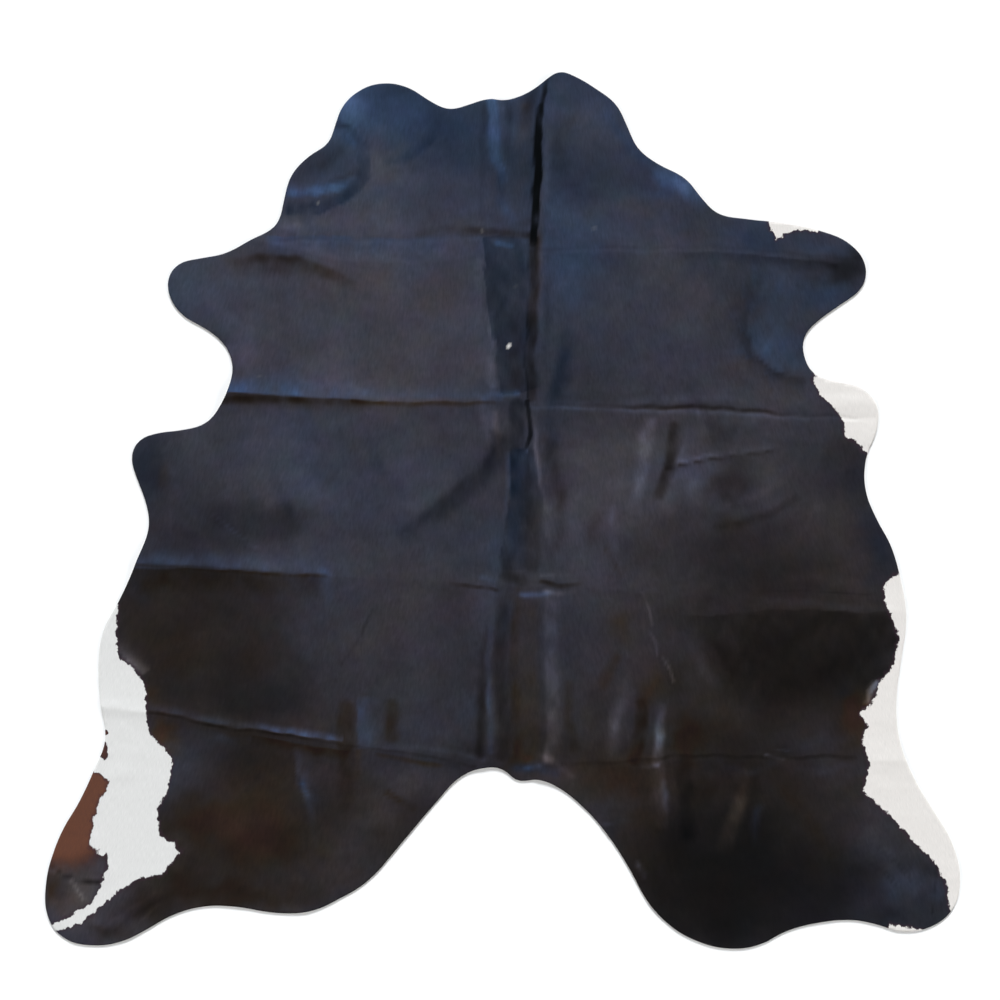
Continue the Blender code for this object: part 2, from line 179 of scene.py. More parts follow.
# Soft patches that change the coat's tone, in stops, and its warmth, from blue below zero to brown.
# They hold the hair's own darker and redder places, and also painted light: the cool painted sheen
# of the window light, and painted shade.
Bloom = namedtuple("Bloom", "across along half_width half_length tone warmth")
SHEEN_SHADE_AND_TONE_BLOOMS = [Bloom(*row) for row in (
    # Broad ones: partly the hair's own colour, partly painted light, bluer towards the neck with
    # painted sheen and darker towards the tail with painted shade.
    (0, -80, 110, 50, -0.6, 0.2), (80, -25, 55, 55, -0.45, 0.4), (0, 104, 80, 38, 0, -0.55),
    (-35, 48, 32, 26, 0.35, 0.1), (28, 42, 40, 30, -0.25, -0.3), (-60, -76, 30, 20, -1.1, 0.9),
    (-74, -31, 27, 20, -1.4, 0.65), (-25, -38, 22, 28, 0.1, 0), (30, 8, 22, 13, 0.6, 0.2),
    (66, -10, 26, 16, -0.5, 0.15), (72, -36, 22, 13, -1.5, 0.25), (58, -60, 26, 14, -1, 0.45),
    (56, -92, 30, 18, -2.7, 0.45), (95, -90, 16, 14, -0.6, -0.2), (-78, 54, 14, 14, 0.2, -0.35),
    (-82, 2, 14, 18, -0.6, 0), (7, 12, 12, 12, -0.25, 0.05), (-4, -32, 18, 16, -0.35, -0.1),
    # Along the spine.
    (4, -38, 9, 25, -0.4, 0.15), (9, 82, 14, 7, -0.5, 0), (13, 70.6, 6, 8, 0.15, -0.35),
    (13.6, -0.2, 2.4, 3, 0.3, 0), (-0.5, 98, 4, 5, 0.5, 0), (2, 84, 18, 6, -0.2, 0),
    (6.5, 10, 2.5, 8, 0, -0.4), (4, -58, 16, 5, -0.75, 0.25), (-4, -22.5, 4, 6, 0.5, -0.3),
    (-8, -57.5, 4, 2, -0.35, 0), (12.4, -62, 6, 2.6, 0.7, -0.1), (5.2, -60.4, 3, 1.8, -0.1, 0.7),
    (13.3, 88.9, 3, 4, -0.3, 0.1), (0, -9, 4, 8, 0, -0.5), (13.2, -8.6, 1.8, 2.6, -0.5, 0.1),
    (1.8, 13, 2.4, 3.4, -0.4, 0), (9, -17.3, 2, 1.6, 0.25, 0), (2, -25, 3, 5, 0, -0.5),
    # The neck, its left half.
    (-28, 96, 13, 8, -0.05, -0.65), (-37, 97.2, 4.5, 6, 1.1, -0.75), (-30, 85, 5, 8, 0.3, 0.25),
    (-26, 80, 9, 7, 0.3, 0.15), (-42, 82, 9, 8, -0.2, -0.4), (-45, 84.5, 5, 3, -0.35, 0.3),
    (-12, 90, 8, 10, -0.6, -0.4), (-17.4, 94.5, 2.5, 3, -0.4, 0), (-50.5, 67.2, 5, 2, 0.8, 0),
    (-26, 68, 8, 7, 0.35, 0.1), (-9, 68, 6, 4, 0, 0.35), (-25.5, 100.5, 5, 2.5, -0.5, 0),
    (-30, 75.6, 8, 4, 0, -0.4), (-40, 63, 5, 3, -0.3, 0), (-24, 88, 5, 5, 0, -0.3),
    # The neck, its right half.
    (22, 92, 6, 4.5, 0.4, 0.2), (38, 61.6, 7, 10, 0.35, 0.3), (20, 62, 6, 6.5, 0.15, -0.35),
    (33, 72.5, 8, 2.6, 0, 0.4), (46.5, 72.3, 3.5, 3, -0.2, 0), (35, 84, 4, 2.5, -0.35, -0.1),
    (34, 79, 7, 3, -0.3, 0), (79, 63, 8, 3, -0.1, -0.6), (60, 65.5, 10, 5, 0, -0.5),
    (61, 66, 5, 3.5, -0.45, -0.2), (17.6, 85.4, 3, 2.6, 0.35, 0), (16, 93.5, 3, 3, 0, 0.35),
    (21, 78, 4, 3.6, -0.3, 0), (38, 76, 6, 3, 0.1, -0.4), (48, 66, 7, 3, 0, 0.3),
    # The left shoulder and foreleg.
    (-27, 44, 7, 12, 0, 0.2), (-31, 55, 6, 6, 0, 0.3), (-64, 44, 5, 4, 0.6, -0.15),
    (-9, 40, 5, 13, 0.3, 0.12), (-15, 59, 5, 4, 0.3, 0), (-52, 31.5, 8, 3, 0, -0.4),
    (-61.5, 37, 4, 5, 0.5, 0), (-16, 52.5, 6, 6, 0, 0.45),
    # The right shoulder and foreleg.
    (15.5, 56, 7, 8, 0.2, -0.4), (46, 49, 10, 10, 0.25, 0.25), (82.4, 58, 4.4, 3.4, -1.7, 0.2),
    (66, 26.5, 9, 6, 0.35, 0.25), (60, 47, 8, 12, -0.5, 0.1), (60, 54, 2.5, 6, -0.4, 0),
    (65.5, 39.5, 5, 4.4, 0.4, -0.2), (69, 31, 6, 3, -0.3, 0.2), (77, 52, 8, 5, 0, -0.8),
    (26, 46, 6, 10, -0.1, 0.3), (57, 33, 5, 3, 0, 0.3), (74, 57, 4, 4, -0.3, 0),
    # The back and belly, left of the spine.
    (-64.5, -2, 7, 4.5, -1.3, 0.1), (-51.6, -3, 5, 4.6, -1.1, 0.15),
    (-57.5, -5, 2.4, 3.4, -0.4, 0.1), (-64.6, -2.4, 2.2, 2.6, 0.5, 0), (-46, 7, 8, 7, 0.35, -0.25),
    (-14, 15, 6, 5, -0.25, 0.1), (-9, -9, 5, 6, -0.1, -0.2), (-85, 11, 4, 8, -1.1, -0.4),
    (-49, 20, 10, 5, -0.1, -0.4), (-42, 12, 7, 6, -0.35, 0), (-81.5, 8, 2, 5, -0.2, 0.6),
    (-28, 16, 6, 5, 0, -0.1), (-73, -11.5, 14, 4, 0, -0.3),
    # The back and belly, right of the spine.
    (21.6, -4.6, 3, 3, -0.4, 0.2), (26, -3, 4, 5, 0.3, 0), (20.4, -14, 5, 3, 0.25, 0),
    (47, 17, 5, 5, 0.2, 0), (45.4, 6, 3.6, 4, 0.9, -0.1), (54.5, 6.6, 4.2, 3.2, -1.1, 0.3),
    (54, 19.3, 4.5, 2.4, -0.7, 0), (34, 21.6, 2.2, 1.6, -0.4, 0), (31.4, 6.4, 1.8, 2.6, -0.6, 0),
    (64.5, 8, 4, 8, 0.5, 0), (75, -1, 3, 5, 0.4, 0), (85, 9, 6, 8, -0.9, -0.15),
    (39.6, 4, 2.4, 3.6, 0.5, 0), (91, -8, 4.5, 9, -0.7, -0.9), (30, 24, 26, 6, -0.35, 0.15),
    (47, 9, 8, 5, 0.2, -0.2), (50, -8, 14, 6, -0.6, 0), (75, -13, 8, 3, -0.4, 0),
    (81, 14, 4.5, 5, -0.5, 0.1), (56, 12, 7, 2.2, -0.5, 0.05), (51, 16.4, 2.2, 4, -0.4, 0),
    (55, -3.4, 3.4, 2.4, -0.1, 0.35), (17.6, -3.6, 2.6, 5.5, 0.45, -0.1),
    # The left rump and flank.
    (-80, -22, 4, 4, 0.3, 0), (-58, -35, 5, 6, 0.2, 0.3), (-43, -24, 7, 6, 0.2, -0.2),
    (-60, -47, 14, 5.5, -0.5, 0), (-14, -43, 8, 8, -0.3, 0), (-8.5, -50, 4, 4, 0.1, -0.3),
    (-84, -44, 2.4, 3, 0.1, 0.5), (-81.4, -54.6, 3, 5, 0.1, 1.2), (-58, -37, 12, 8, -0.5, -0.1),
    (-62, -23, 12, 5, -0.35, 0), (-49.5, -30, 5.5, 5.5, 0.6, -0.25), (-79, -35, 7, 5, 0, 0.4),
    (-88, -28, 4.5, 6, 0, 0.3), (-67, -46, 5, 4.5, -0.6, 0.1), (-53, -44, 9, 5, -0.35, 0),
    (-66, -57, 7, 3, 0, -0.4), (-88.5, -18, 3, 3, 0.4, -0.4), (-42, -55, 4, 2.4, -0.4, 0),
    # The right rump and flank.
    (28.6, -28, 3.4, 4, -0.45, 0.6), (35.6, -42, 2.6, 5, -0.3, 0.6),
    (41.5, -40, 3.4, 6, -0.6, 0.15), (19.5, -42, 4, 5, -0.3, 0), (73, -56, 8, 3.4, 0.35, -0.45),
    (52, -16, 5, 4.5, -0.5, 0), (63, -40, 4, 6, 0.45, -0.1), (59, -29, 5, 5, 0.35, 0),
    (94, -35.4, 2, 2.6, 0.6, 0), (82.4, -42.6, 4, 2.8, 0.3, -0.55),
    (57.5, -42, 5.5, 4.5, -0.35, 0.1), (43.8, -54, 3.6, 5.5, -1, 1.2), (85, -51, 3.2, 5, 0.2, 0.9),
    (51, -51.5, 6, 6, -0.25, 0.5), (57, -50, 3.4, 4, 0.45, 0), (33, -24.6, 4, 3, -0.35, 0),
    (40, -44, 3, 4, -0.4, 0.2), (82.5, -44, 4, 4, -0.8, 0.1), (85.8, -45.5, 2.4, 3.4, 0, 0.8),
    # The left hind leg.
    (-54, -58, 14, 5, -0.6, 0.2), (-76, -61, 6, 6, 0.5, -0.4), (-28, -80.5, 6, 6, -0.45, 0.2),
    (-58, -75, 8, 8, 0.25, 0.4), (-72, -74, 7.5, 5, -0.55, 0.9), (-64, -76, 4, 5, 0.4, 0),
    (-76.5, -82.6, 3.4, 4, 0.55, -0.2), (-41, -82, 8, 3.6, 0.3, 0.1),
    (-62, -92.5, 18, 3, -1.1, 0.7), (-35, -87, 5, 4, -0.2, 0.2), (-22, -64, 5, 4.5, 0.75, 0),
    (-30.4, -72.5, 6, 5, 0.65, 0), (-91, -93.5, 3.6, 3, 0.4, -0.1), (-103, -92, 7, 8, 0.85, 0.45),
    (-14, -66, 8, 4, 0.4, 0.1), (-78, -88, 5, 3.4, -0.6, 0.2), (-96, -100.4, 4.6, 2, -1, 0.4),
    (-85, -95.5, 6.5, 3, -1.1, 0.4), (-108, -90, 2.4, 4, -1, 0.9), (-96.6, -85, 2.5, 4, 0.7, -0.1),
    (-60, -84, 14, 6, -0.3, 0), (-62, -84, 15, 7, -0.1, 0.2), (-50, -83, 5, 5, -0.4, 0),
    (-107, -85.6, 2, 1.2, 0.8, 0), (-104.5, -90.5, 3, 2.4, -0.8, 0), (-45.5, -69, 4.6, 7, 0, -0.4),
    (-103.5, -82.5, 2, 1.6, -0.6, 0), (-98.4, -82, 2.4, 2.4, 0, -0.4),
    # The right hind leg.
    (50, -101, 14, 4, -0.4, 0.05), (27, -63.5, 11, 5.5, -0.25, 0.7), (20, -70, 4, 4, -0.5, 0),
    (26, -76.6, 2.5, 3, -0.6, -0.2), (37, -91, 3, 5, -0.5, 0.1), (35.5, -74.5, 4, 3, -0.1, 0.35),
    (77, -61.8, 10, 2.4, 0.65, -0.35), (57, -61.8, 9, 2, 0.3, -0.3),
    (57.5, -66.6, 2.4, 4, -0.7, 0.1), (90, -81.6, 6, 4, 0.45, -0.2),
    (96, -89, 4.5, 3.6, 0.75, -0.3), (94, -97, 3.6, 2, -0.4, 0), (98, -84.5, 5, 2, -0.35, 0),
    (84, -87, 2.4, 4.5, 0.1, -0.25), (47.4, -67.6, 3, 6, -0.6, 0.1), (33, -82, 7, 7, -0.4, 0.35),
    (76, -84, 8, 6, -0.4, 0.2), (21, -71.6, 3.4, 3, 0.5, -0.1), (68, -57.2, 2, 1.6, -0.6, 0),
    (69.5, -86, 5, 3, 0.5, 0), (104.4, -91.6, 2.4, 2.6, 0.5, -0.3), (87, -86, 3, 3.4, -0.4, 0),
    (101.7, -87.5, 2.2, 2.2, -0.5, 0),
)]
# The same along a path. Besides the hair's own streaks, many are painted light: a painted highlight
# on a fold's side towards the neck, painted shade and a painted shadow line on its far side, and
# painted sheen where the hair lies differently.
Streak = namedtuple("Streak", "path left right core tone warmth")
SHEEN_SHADE_AND_TONE_STREAKS = [Streak(*row) for row in (
    # Along the spine.
    (((-4, 27.4, 0.2), (0, 27.6, 0.6), (3.4, 28.2)), 1.9, 1.4, 0, 1, -0.7),
    (((-12, -17.8, 0.2), (-5, -18.4, 0.8), (-1.2, -19.4)), 0.7, 0.8, 0.2, -1, 0.4),
    (((-5, -16), (-2, -17)), 1.5, 1, 0, 0.3, -0.2),
    # The left shoulder line: a painted highlight on the trough's wall that faces the neck, and
    # painted shade on its other wall (next row).
    (((-1.4, 63.9), (1.8, 63.7)), 1.1, 0.9, 0.2, 1.1, -0.9),
    (((-20, 66, 0.2), (-13, 67, 0.3), (-4, 66.6, 0.7), (2, 66.4), (7, 66.2)),
     1.6, 1.3, 0, -1.3, 0.5),
    # Painted shadow in the spine pleat, in these four rows: the dark gap under its lip, from the
    # middle to the neck's end, and further down a brown band and a thin dark line.
    (((7.4, 64, 0.15), (7.5, 66.5, 0.7), (7.8, 69), (8.3, 72.5), (8.6, 77.6), (8.5, 82.7),
      (8.3, 87.7), (8.3, 92.8, 0.5), (8.6, 96.5, 0.25)),
     1.2, 1.05, 0.5, -7, 0.1),
    (((8.6, 95), (9.4, 99), (10.4, 102.6, 0.6), (11.2, 105.5, 0.2)), 1, 0.65, 0.1, -2.5, 0.1),
    (((6.9, 26.4, 0.4), (7, 32, 0.5), (7.2, 40), (7.2, 65)), 1.1, 1.9, 0.3, -1.5, 0.5),
    (((6, 27), (5.9, 34), (6.2, 45), (6.1, 64, 0.3)), 0.45, 0.45, 0.1, -1.4, 0),
    # Painted highlight on the lip of the spine pleat.
    (((10, 60, 0.1), (10.4, 72, 0.2), (10.2, 83), (10.8, 92, 0.3), (12.6, 100, 0.3)),
     1.2, 1.8, 0, 0.6, 0.1),
    (((10.8, 36, 0.5), (10.8, 46), (10.6, 62, 0.6)), 1.2, 1.8, 0, -0.35, 0),
    (((12, 25.5), (14, 33), (15.6, 42, 0.5)), 2.6, 4, 0, -0.85, -0.4),
    (((10.5, 8, 0.4), (11.4, 17), (11.6, 23)), 2, 3, 0, -0.45, -0.1),
    # Painted shadow in the crack where the spine pleat ends.
    (((5.4, 15.4), (6.2, 17.4), (6.5, 20, 0.9), (6.1, 26, 0.5)), 0.75, 0.75, 0.35, -4, 0),
    (((3, 15.6), (3.6, 25)), 2.4, 2.4, 0.4, -1.1, -0.1),
    (((-4, 17, 0.5), (-4.8, 22), (-5.4, 27, 0.5)), 2.6, 2.4, 0, 0.75, 0),
    (((10.8, -1, 0.3), (9.2, 5), (8.4, 10), (7.6, 15), (7.4, 22, 0.5)), 0.7, 1, 0.1, 0.9, 0.1),
    (((1.6, 14.8), (3.4, 14.9), (5.4, 15.6)), 0.35, 0.4, 0, 0.9, 0.1),
    (((5.2, 15.2), (5.7, 14.4)), 0.5, 0.5, 0, 1.5, -0.2),
    (((-4, 64.6), (-3, 50), (-0.2, 40), (0.4, 29, 0.9)), 9.6, 1, 0.75, -0.75, -0.2),
    (((3, 30), (3.4, 34), (3.6, 46, 0.5)), 2.4, 2.2, 0, -0.35, 0.25),
    (((5, 48, 0.5), (5, 56), (4.6, 63, 0.5)), 2.2, 2.2, 0, -0.5, -0.15),
    (((-0.4, 74), (0, 80.5)), 1.8, 1.8, 0.1, -0.3, -0.3),
    (((0.4, 75, 0.3), (1.2, 72), (1.8, 70, 0.5)), 2.4, 2.4, 0, 0.4, -0.45),
    (((1.9, 14.6), (1.8, 0), (0.4, -6, 0.9), (0, -13.5, 0.5)), 6.4, 0.5, 0.6, -0.8, -0.1),
    (((2, 14.6), (1.8, 4, 0.8), (1.4, -6, 0.4), (1, -12, 0.2)), 5, 0.4, 0.2, -0.3, -0.8),
    (((4.6, 13), (4.4, 8, 0.5)), 1.6, 1.6, 0, 0.6, 0),
    (((7.2, 10, 0.4), (7.4, 2), (6.8, -13)), 2.6, 2.6, 0.3, -0.45, 0.1),
    (((0.6, -2, 0.3), (1.3, 6), (1.4, 13.6)), 1.1, 0.5, 0, 0.5, -0.4),
    (((-0.2, -59), (-0.2, -40), (0.3, -24), (0.8, -14), (1, -10, 0.1)), 2.2, 2, 0.3, -0.85, 0.2),
    (((5.6, -58, 0.5), (5.6, -50), (5.6, -40), (5.4, -24, 0.5), (5.6, -18, 0.2)),
     3.6, 4, 0.4, 0.05, 0.4),
    (((2.6, -60), (2.8, -40), (3, -19, 0.8)), 1.8, 1.8, 0, -0.5, 0.5),
    (((-2.6, 20), (-2.6, 29), (-5, 40, 0.6), (-6, 60, 0.5)), 2.2, 1.6, 0, 0.35, 0),
    (((-6, -59), (-4.9, -47), (-4, -38, 0.5), (-3, -27, 0.1)), 1.9, 1.7, 0, -1.25, 0.3),
    (((-3.4, -58), (-3.3, -45), (-2.6, -28, 0.5)), 1, 1.4, 0, 0.6, -0.4),
    (((10.8, -60), (11.4, -48), (11, -35, 0.7), (10.8, -20, 0.4)), 1.8, 4, 0.2, 1.1, -0.05),
    # Painted highlight along the neck ripple.
    (((0.8, 79.5, 0.3), (-1, 84, 0.8), (-1.9, 91), (-2.2, 99.5)), 2, 1.8, 0.2, 1, -0.85),
    (((1.4, 84, 0.3), (1.4, 92), (1.2, 99)), 1.1, 1.6, 0, -0.8, 0),
    (((-4.6, 70, 0.3), (-4.4, 84, 0.7), (-4.2, 97)), 1.2, 1.5, 0, -0.5, 0),
    (((4, 76, 0.4), (4.6, 86, 0.8), (5, 97)), 2, 3, 0, 0.15, 0.4),
    (((13, -13, 0.5), (10.4, -6), (9.8, 1, 0.6)), 0.5, 4, 0, 0.45, 0),
    (((12.4, 15, 0.5), (12.8, 10), (14.4, 3), (14.2, -7, 0.5)), 2.1, 2.1, 0, -0.55, 0.1),
    (((0.6, -15.8, 0.7), (3, -16.4), (4.8, -16.6, 0.7)), 2.6, 2, 0, -1.4, 0.3),
    (((9, -15.6), (16, -15.4, 0.3)), 1.4, 0.6, 0, 0.5, 0),
    (((9, -17, 0.6), (13, -18), (18.6, -17.4, 0.2)), 0.8, 1.1, 0.1, -1.2, 0.5),
    (((9.6, -19.4), (13, -20), (17, -19.4, 0.3)), 1, 1.4, 0, 0.6, 0.1),
    (((4, -20.2), (7, -20.6, 0.9), (11.6, -19.8, 0.3)), 1.5, 1.3, 0, 1.1, -0.7),
    (((3, -61.6), (9, -62.2), (13, -63.6, 0.6)), 2.6, 1.6, 0, -0.2, -0.6),
    (((6, -61.8), (8.6, -61.6)), 1.1, 1.1, 0, 0.7, -0.3),
    (((8.4, -58.2, 0.5), (12, -60), (16.6, -63.6)), 1.4, 1.6, 0, 0.6, -0.1),
    (((-2.4, 47, 0.4), (-2.2, 40), (-1.6, 30, 0.9)), 1.2, 2.4, 0, 0.75, 0),
    (((-1.4, 13, 0.6), (-1.6, 18), (-2, 23, 0.6)), 1.6, 1.6, 0, 0.6, 0.2),
    (((5, 92, 0.5), (5.6, 96), (7, 101)), 2.2, 2.2, 0, -0.8, 0.1),
    (((4, 68.6, 0.5), (7, 69.6), (7.8, 73, 0.4)), 1.9, 1.9, 0, -0.8, 0.2),
    (((8.4, 48, 0.4), (8.6, 58), (8.8, 70), (9.2, 82, 0.5)), 1.6, 1.6, 0, 0, 0.5),
    (((9.6, 24, 0.5), (9.6, 18), (11.4, 12, 0.7), (13.4, 4), (13.6, -2, 0.3)),
     2.2, 2.2, 0, -0.35, 0.1),
    (((7.6, 60, 0.3), (8.4, 64, 0.8), (10.4, 71, 0.6), (10.6, 75, 0.2)), 1.6, 1.6, 0, -0.4, 0),
    # The neck, its left half.
    (((-56, 66.2), (-30, 65.4, 0.7), (6, 65.2, 0.4)), 0.3, 6, 0.1, 0.1, -0.45),
    (((-52, 69.5), (-34, 69, 0.4)), 2.5, 2.2, 0, 0.3, 0.2),
    (((-51, 71.6), (-44, 71.4), (-37.6, 74), (-33.6, 78), (-32.4, 83), (-33.6, 88), (-37, 91, 0.5)),
     3.2, 0.8, 0.3, -0.75, -0.35),
    (((-49, 80, 0.6), (-43, 83), (-39, 86, 0.6)), 2.6, 2.6, 0, -0.45, 0.1),
    # Painted highlight on the cheek whorl's side towards the neck.
    (((-51, 76.2), (-44, 76.3), (-38.6, 77.8, 0.6), (-35.4, 80, 0.1)), 2.6, 1.8, 0, 0.8, -0.75),
    (((-45, 75.8), (-40.4, 76.2, 0.8), (-37, 77.6, 0.3)), 0.9, 0.9, 0, 0.5, -0.3),
    (((-40.4, 92.6), (-37.6, 92.2), (-35.6, 91.2, 0.6)), 0.8, 0.7, 0.1, -0.9, 0.1),
    (((-37.2, 90), (-35.8, 87.6)), 1, 1.2, 0, 0.6, -0.5),
    (((-28, 83, 0.5), (-22, 84.6), (-17, 89), (-14.4, 95, 0.5)), 3, 0.8, 0, -0.35, -0.2),
    (((-48, 72.6, 0.7), (-44.4, 73.4)), 1.5, 1.5, 0, -0.9, -0.3),
    (((-42.6, 78, 0.5), (-38.4, 79.2), (-35, 81, 0.6)), 1.4, 1.4, 0, -0.7, 0.3),
    # The neck, its right half.
    (((42, 61.8, 0.4), (60, 60.8), (80, 59)), 0.4, 3, 0, -0.5, 0),
    (((38, 80.4, 0.7), (43, 77.8), (48, 74, 0.6)), 3.4, 3.4, 0, 1.1, -0.85),
    (((25, 96, 0.3), (31, 86), (36, 83, 0.4)), 2, 2.5, 0, 0, -0.5),
    # The left shoulder and foreleg.
    # The front fold: a painted highlight on its side towards the neck, painted shade on its far
    # side and a painted shadow line under it (these four rows).
    (((-68, 28.4), (-50, 27.6), (-38, 27, 0.5), (0, 26, 0.3)), 5, 0.3, 0, 0.4, -0.7),
    (((-68, 28.2), (-46, 27), (-30, 26.6, 0.4), (-12, 26.2, 0.2)), 0.3, 3.6, 0.1, -0.8, 0.4),
    (((-67, 26.6, 0.8), (-51, 27.2), (-40, 26.6, 0.4), (-31, 26.4, 0.05)), 1, 1.6, 0.1, -1.3, 0.6),
    (((-36, 26.6), (-18, 26, 0.9), (-2, 25.6)), 0.6, 1.1, 0.1, -0.6, 0.25),
    # Painted shade below the left shoulder crease, in these three rows.
    (((-66, 60, 0.3), (-58, 61), (-50, 60.4), (-43, 58, 0.8), (-37, 55.6, 0.4), (-32, 54, 0)),
     1.6, 2.8, 0, -1, 0.5),
    (((-72, 57, 0.2), (-64, 58), (-58, 59, 0.4)), 3, 4, 0, -0.3, 0.1),
    (((-62, 57.4, 0.4), (-54, 58), (-48, 57.4), (-43, 56, 0.4)), 2, 2.4, 0, -0.5, 0.2),
    (((-36, 27, 0.4), (-18, 26.4), (-6, 26, 0.6)), 1.6, 2, 0, -0.1, 0.6),
    # The right shoulder and foreleg.
    (((10, 25, 0.6), (20, 25, 0.9), (29, 25.4, 0.8), (38, 26.2, 0.7), (54, 26.2, 0.7),
      (62, 25.6, 0.2)),
     2, 1.6, 0, 0.5, -0.1),
    (((61, 56, 0.2), (60.2, 50, 0.8), (60.2, 44), (61.8, 38.4), (65.4, 34.6), (71, 33, 0.4)),
     14, 0.7, 0.3, 0.25, -0.45),
    (((60, 54, 0.3), (58.6, 45, 0.6), (60, 37.8), (65, 33.4), (73, 31.8, 0.8)),
     0.6, 3.4, 0, -1, 0.25),
    (((73, 60.6, 0.4), (79, 58.6)), 1.4, 1.4, 0, -0.7, 0.1),
    # The back and belly, left of the spine.
    # The rear fold: a painted highlight on its side towards the neck, painted shade on its far side
    # and a painted shadow line under it (these three rows).
    (((-90, -14), (-75, -14), (-62, -14.4, 0.8), (-50, -15, 0.45), (-36, -15.8, 0.15)),
     5.4, 0.4, 0.2, 0.75, -0.45),
    (((-94, -14.8), (-70, -14.6), (-52, -15, 0.8), (-44.6, -15.6, 0.25)), 0.3, 7, 0.3, -0.55, 0.45),
    (((-90, -13.4), (-76, -14, 0.8), (-64, -14.6, 0.4), (-54, -15), (-43, -15.6, 0.5)),
     0.8, 1, 0, -0.75, 0.6),
    # Painted shade on the far side of the swell from the spine.
    (((-24, -5.5, 0.3), (-15, 0.8, 0.8), (-6.8, 7.8), (-3, 13), (-1.8, 17, 0.8)),
     2.2, 5.4, 0, -1.15, -0.1),
    (((-69, -0.5), (-59, -9)), 0.4, 0.6, 0, 0.4, -0.1),
    (((-56.5, 14, 0.3), (-54.6, 6, 0.8), (-50.6, -1)), 1.6, 1.6, 0.2, -0.35, -0.1),
    (((-33, 20, 0.4), (-29, 9)), 2, 2.5, 0, -0.2, -0.1),
    (((-79.4, -6, 0.5), (-79.6, 3), (-78.6, 10, 0.4)), 2, 2.4, 0, 0.1, 0),
    # The back and belly, right of the spine.
    # The front fold right of the spine: painted shade in its trough, and a painted highlight on the
    # trough's wall that faces the neck (next row).
    (((28, 24.6, 0.2), (36, 24.2, 0.9), (47, 24.2), (62, 23.6, 0.8), (70, 23, 0.1)),
     1, 0.6, 0, -1, 0.3),
    (((6.6, 24.6, 0.8), (40, 23.4, 0.8), (50, 23.1), (74, 22, 0.4)), 0.5, 1.2, 0, 0.45, -0.2),
    (((32.4, 0, 0.4), (33.4, 9), (35.2, 21)), 3.2, 2, 0.15, 0.8, -0.1),
    (((37.4, 4, 0.6), (39.4, 12), (40.6, 20, 0.8)), 1.8, 2.4, 0.1, -1.4, 0.35),
    # Along the right belly line: a painted highlight above it and painted shade below it (next
    # row).
    (((41, 11.6), (52, 13.1), (66, 15.2, 0.4)), 1.3, 0.2, 0, 0.5, -0.1),
    (((38, 10.5), (52, 12.6), (66, 14.7, 0.4)), 0.2, 0.7, 0, -0.9, 0.2),
    (((42, 12.6), (44, 19, 0.3)), 1, 2.6, 0, 0.5, -0.1),
    (((46, 24), (49, 18, 0.2)), 1.2, 1.2, 0, 0.4, 0),
    (((52, 0.6, 0.4), (58, 3), (66, 7, 0.5)), 1.6, 1.6, 0, 0.4, 0),
    (((28, -14, 0.3), (26.4, -6), (26.6, 1)), 1.2, 1.2, 0, 0.35, -0.1),
    (((24.6, -9), (28.6, -16, 0.4)), 0.8, 1.2, 0, -0.4, 0.2),
    (((52, -4, 0.5), (58, -2.4), (64, -0.4), (70, 3, 0.5)), 1.8, 1.8, 0, -0.65, 0.1),
    # The left rump and flank.
    (((-43, -15, 0.8), (-41.6, -22, 0.3)), 2.2, 2.2, 0, 0.3, -0.4),
    # Painted highlight on the hip fold's side towards the neck.
    (((-85, -47.9, 0.3), (-68, -50.7, 0.6), (-50, -53.6), (-38, -55.2)), 2.2, 0.3, 0.1, 1.25, -0.9),
    (((-76, -52, 0.3), (-64, -54.4), (-48, -56.4, 0.4)), 1.5, 3, 0, 0.3, -0.4),
    # Painted shadow line along the hip fold.
    (((-85, -48.6), (-62, -52.3), (-44, -55, 0.6), (-30, -57.4, 0.3), (-7, -61.3, 0.4)),
     0.35, 0.7, 0.2, -0.9, 0.2),
    (((-38, -37, 0.6), (-31.5, -24)), 0.6, 0.6, 0, -0.5, 0),
    (((-92, -31.5, 0.3), (-90, -36), (-87, -39, 0.8)), 3, 1, 0, 2, 0),
    (((-37.4, -56), (-37, -47.4, 0.6)), 2.8, 2.8, 0.4, -0.7, 0.6),
    (((-34.2, -57, 0.7), (-34.2, -45, 0.7)), 0.5, 6, 0.1, 0.7, -0.7),
    (((-26.6, -54.5), (-26.6, -46.5, 0.8)), 2.2, 2.6, 0.2, -0.85, 0.65),
    # Painted shade on the far side of the hip fold.
    (((-60, -54.2, 0.5), (-45, -57), (-37, -57.8)), 0.4, 3, 0, -0.9, 0.9),
    # The right rump and flank.
    (((33.4, -19.8, 0.6), (35.1, -23.6), (35.9, -27.4, 0.4)), 0.6, 0.6, 0, 0.9, 0),
    (((35.3, -29, 0.4), (36.6, -31.4), (37.1, -33.8)), 0.6, 0.6, 0, 1, -0.1),
    (((38.5, -35, 0.5), (40.2, -38), (41.3, -40.9)), 0.6, 0.6, 0, 1, -0.1),
    (((63, -19.6, 0.3), (76, -19.4), (88, -20)), 0.5, 0.5, 0, -0.4, 0),
    (((60, -21.4, 0.1), (69, -21.8, 0.9), (80, -22.8), (92, -24, 0.5)), 1.4, 1.8, 0.1, 0.25, -0.15),
    (((64, -16.4, 0.3), (74, -16.6), (84, -17, 0.3)), 2, 2, 0, 0.35, 0),
    (((54, -25.6, 0.2), (64, -25, 0.9), (95, -25)), 1.2, 24, 0.5, -0.8, 0.1),
    (((50, -27, 0.5), (53, -36), (62, -47, 0.4)), 14, 1.5, 0.1, -0.4, 0.1),
    (((46, -31.6, 0.4), (48.6, -38), (52, -43, 0.3)), 2.4, 2.6, 0, 0.85, -0.2),
    (((88, -46.5), (88.9, -43.4), (90.4, -41)), 1.8, 0.8, 0.2, 2.4, -0.4),
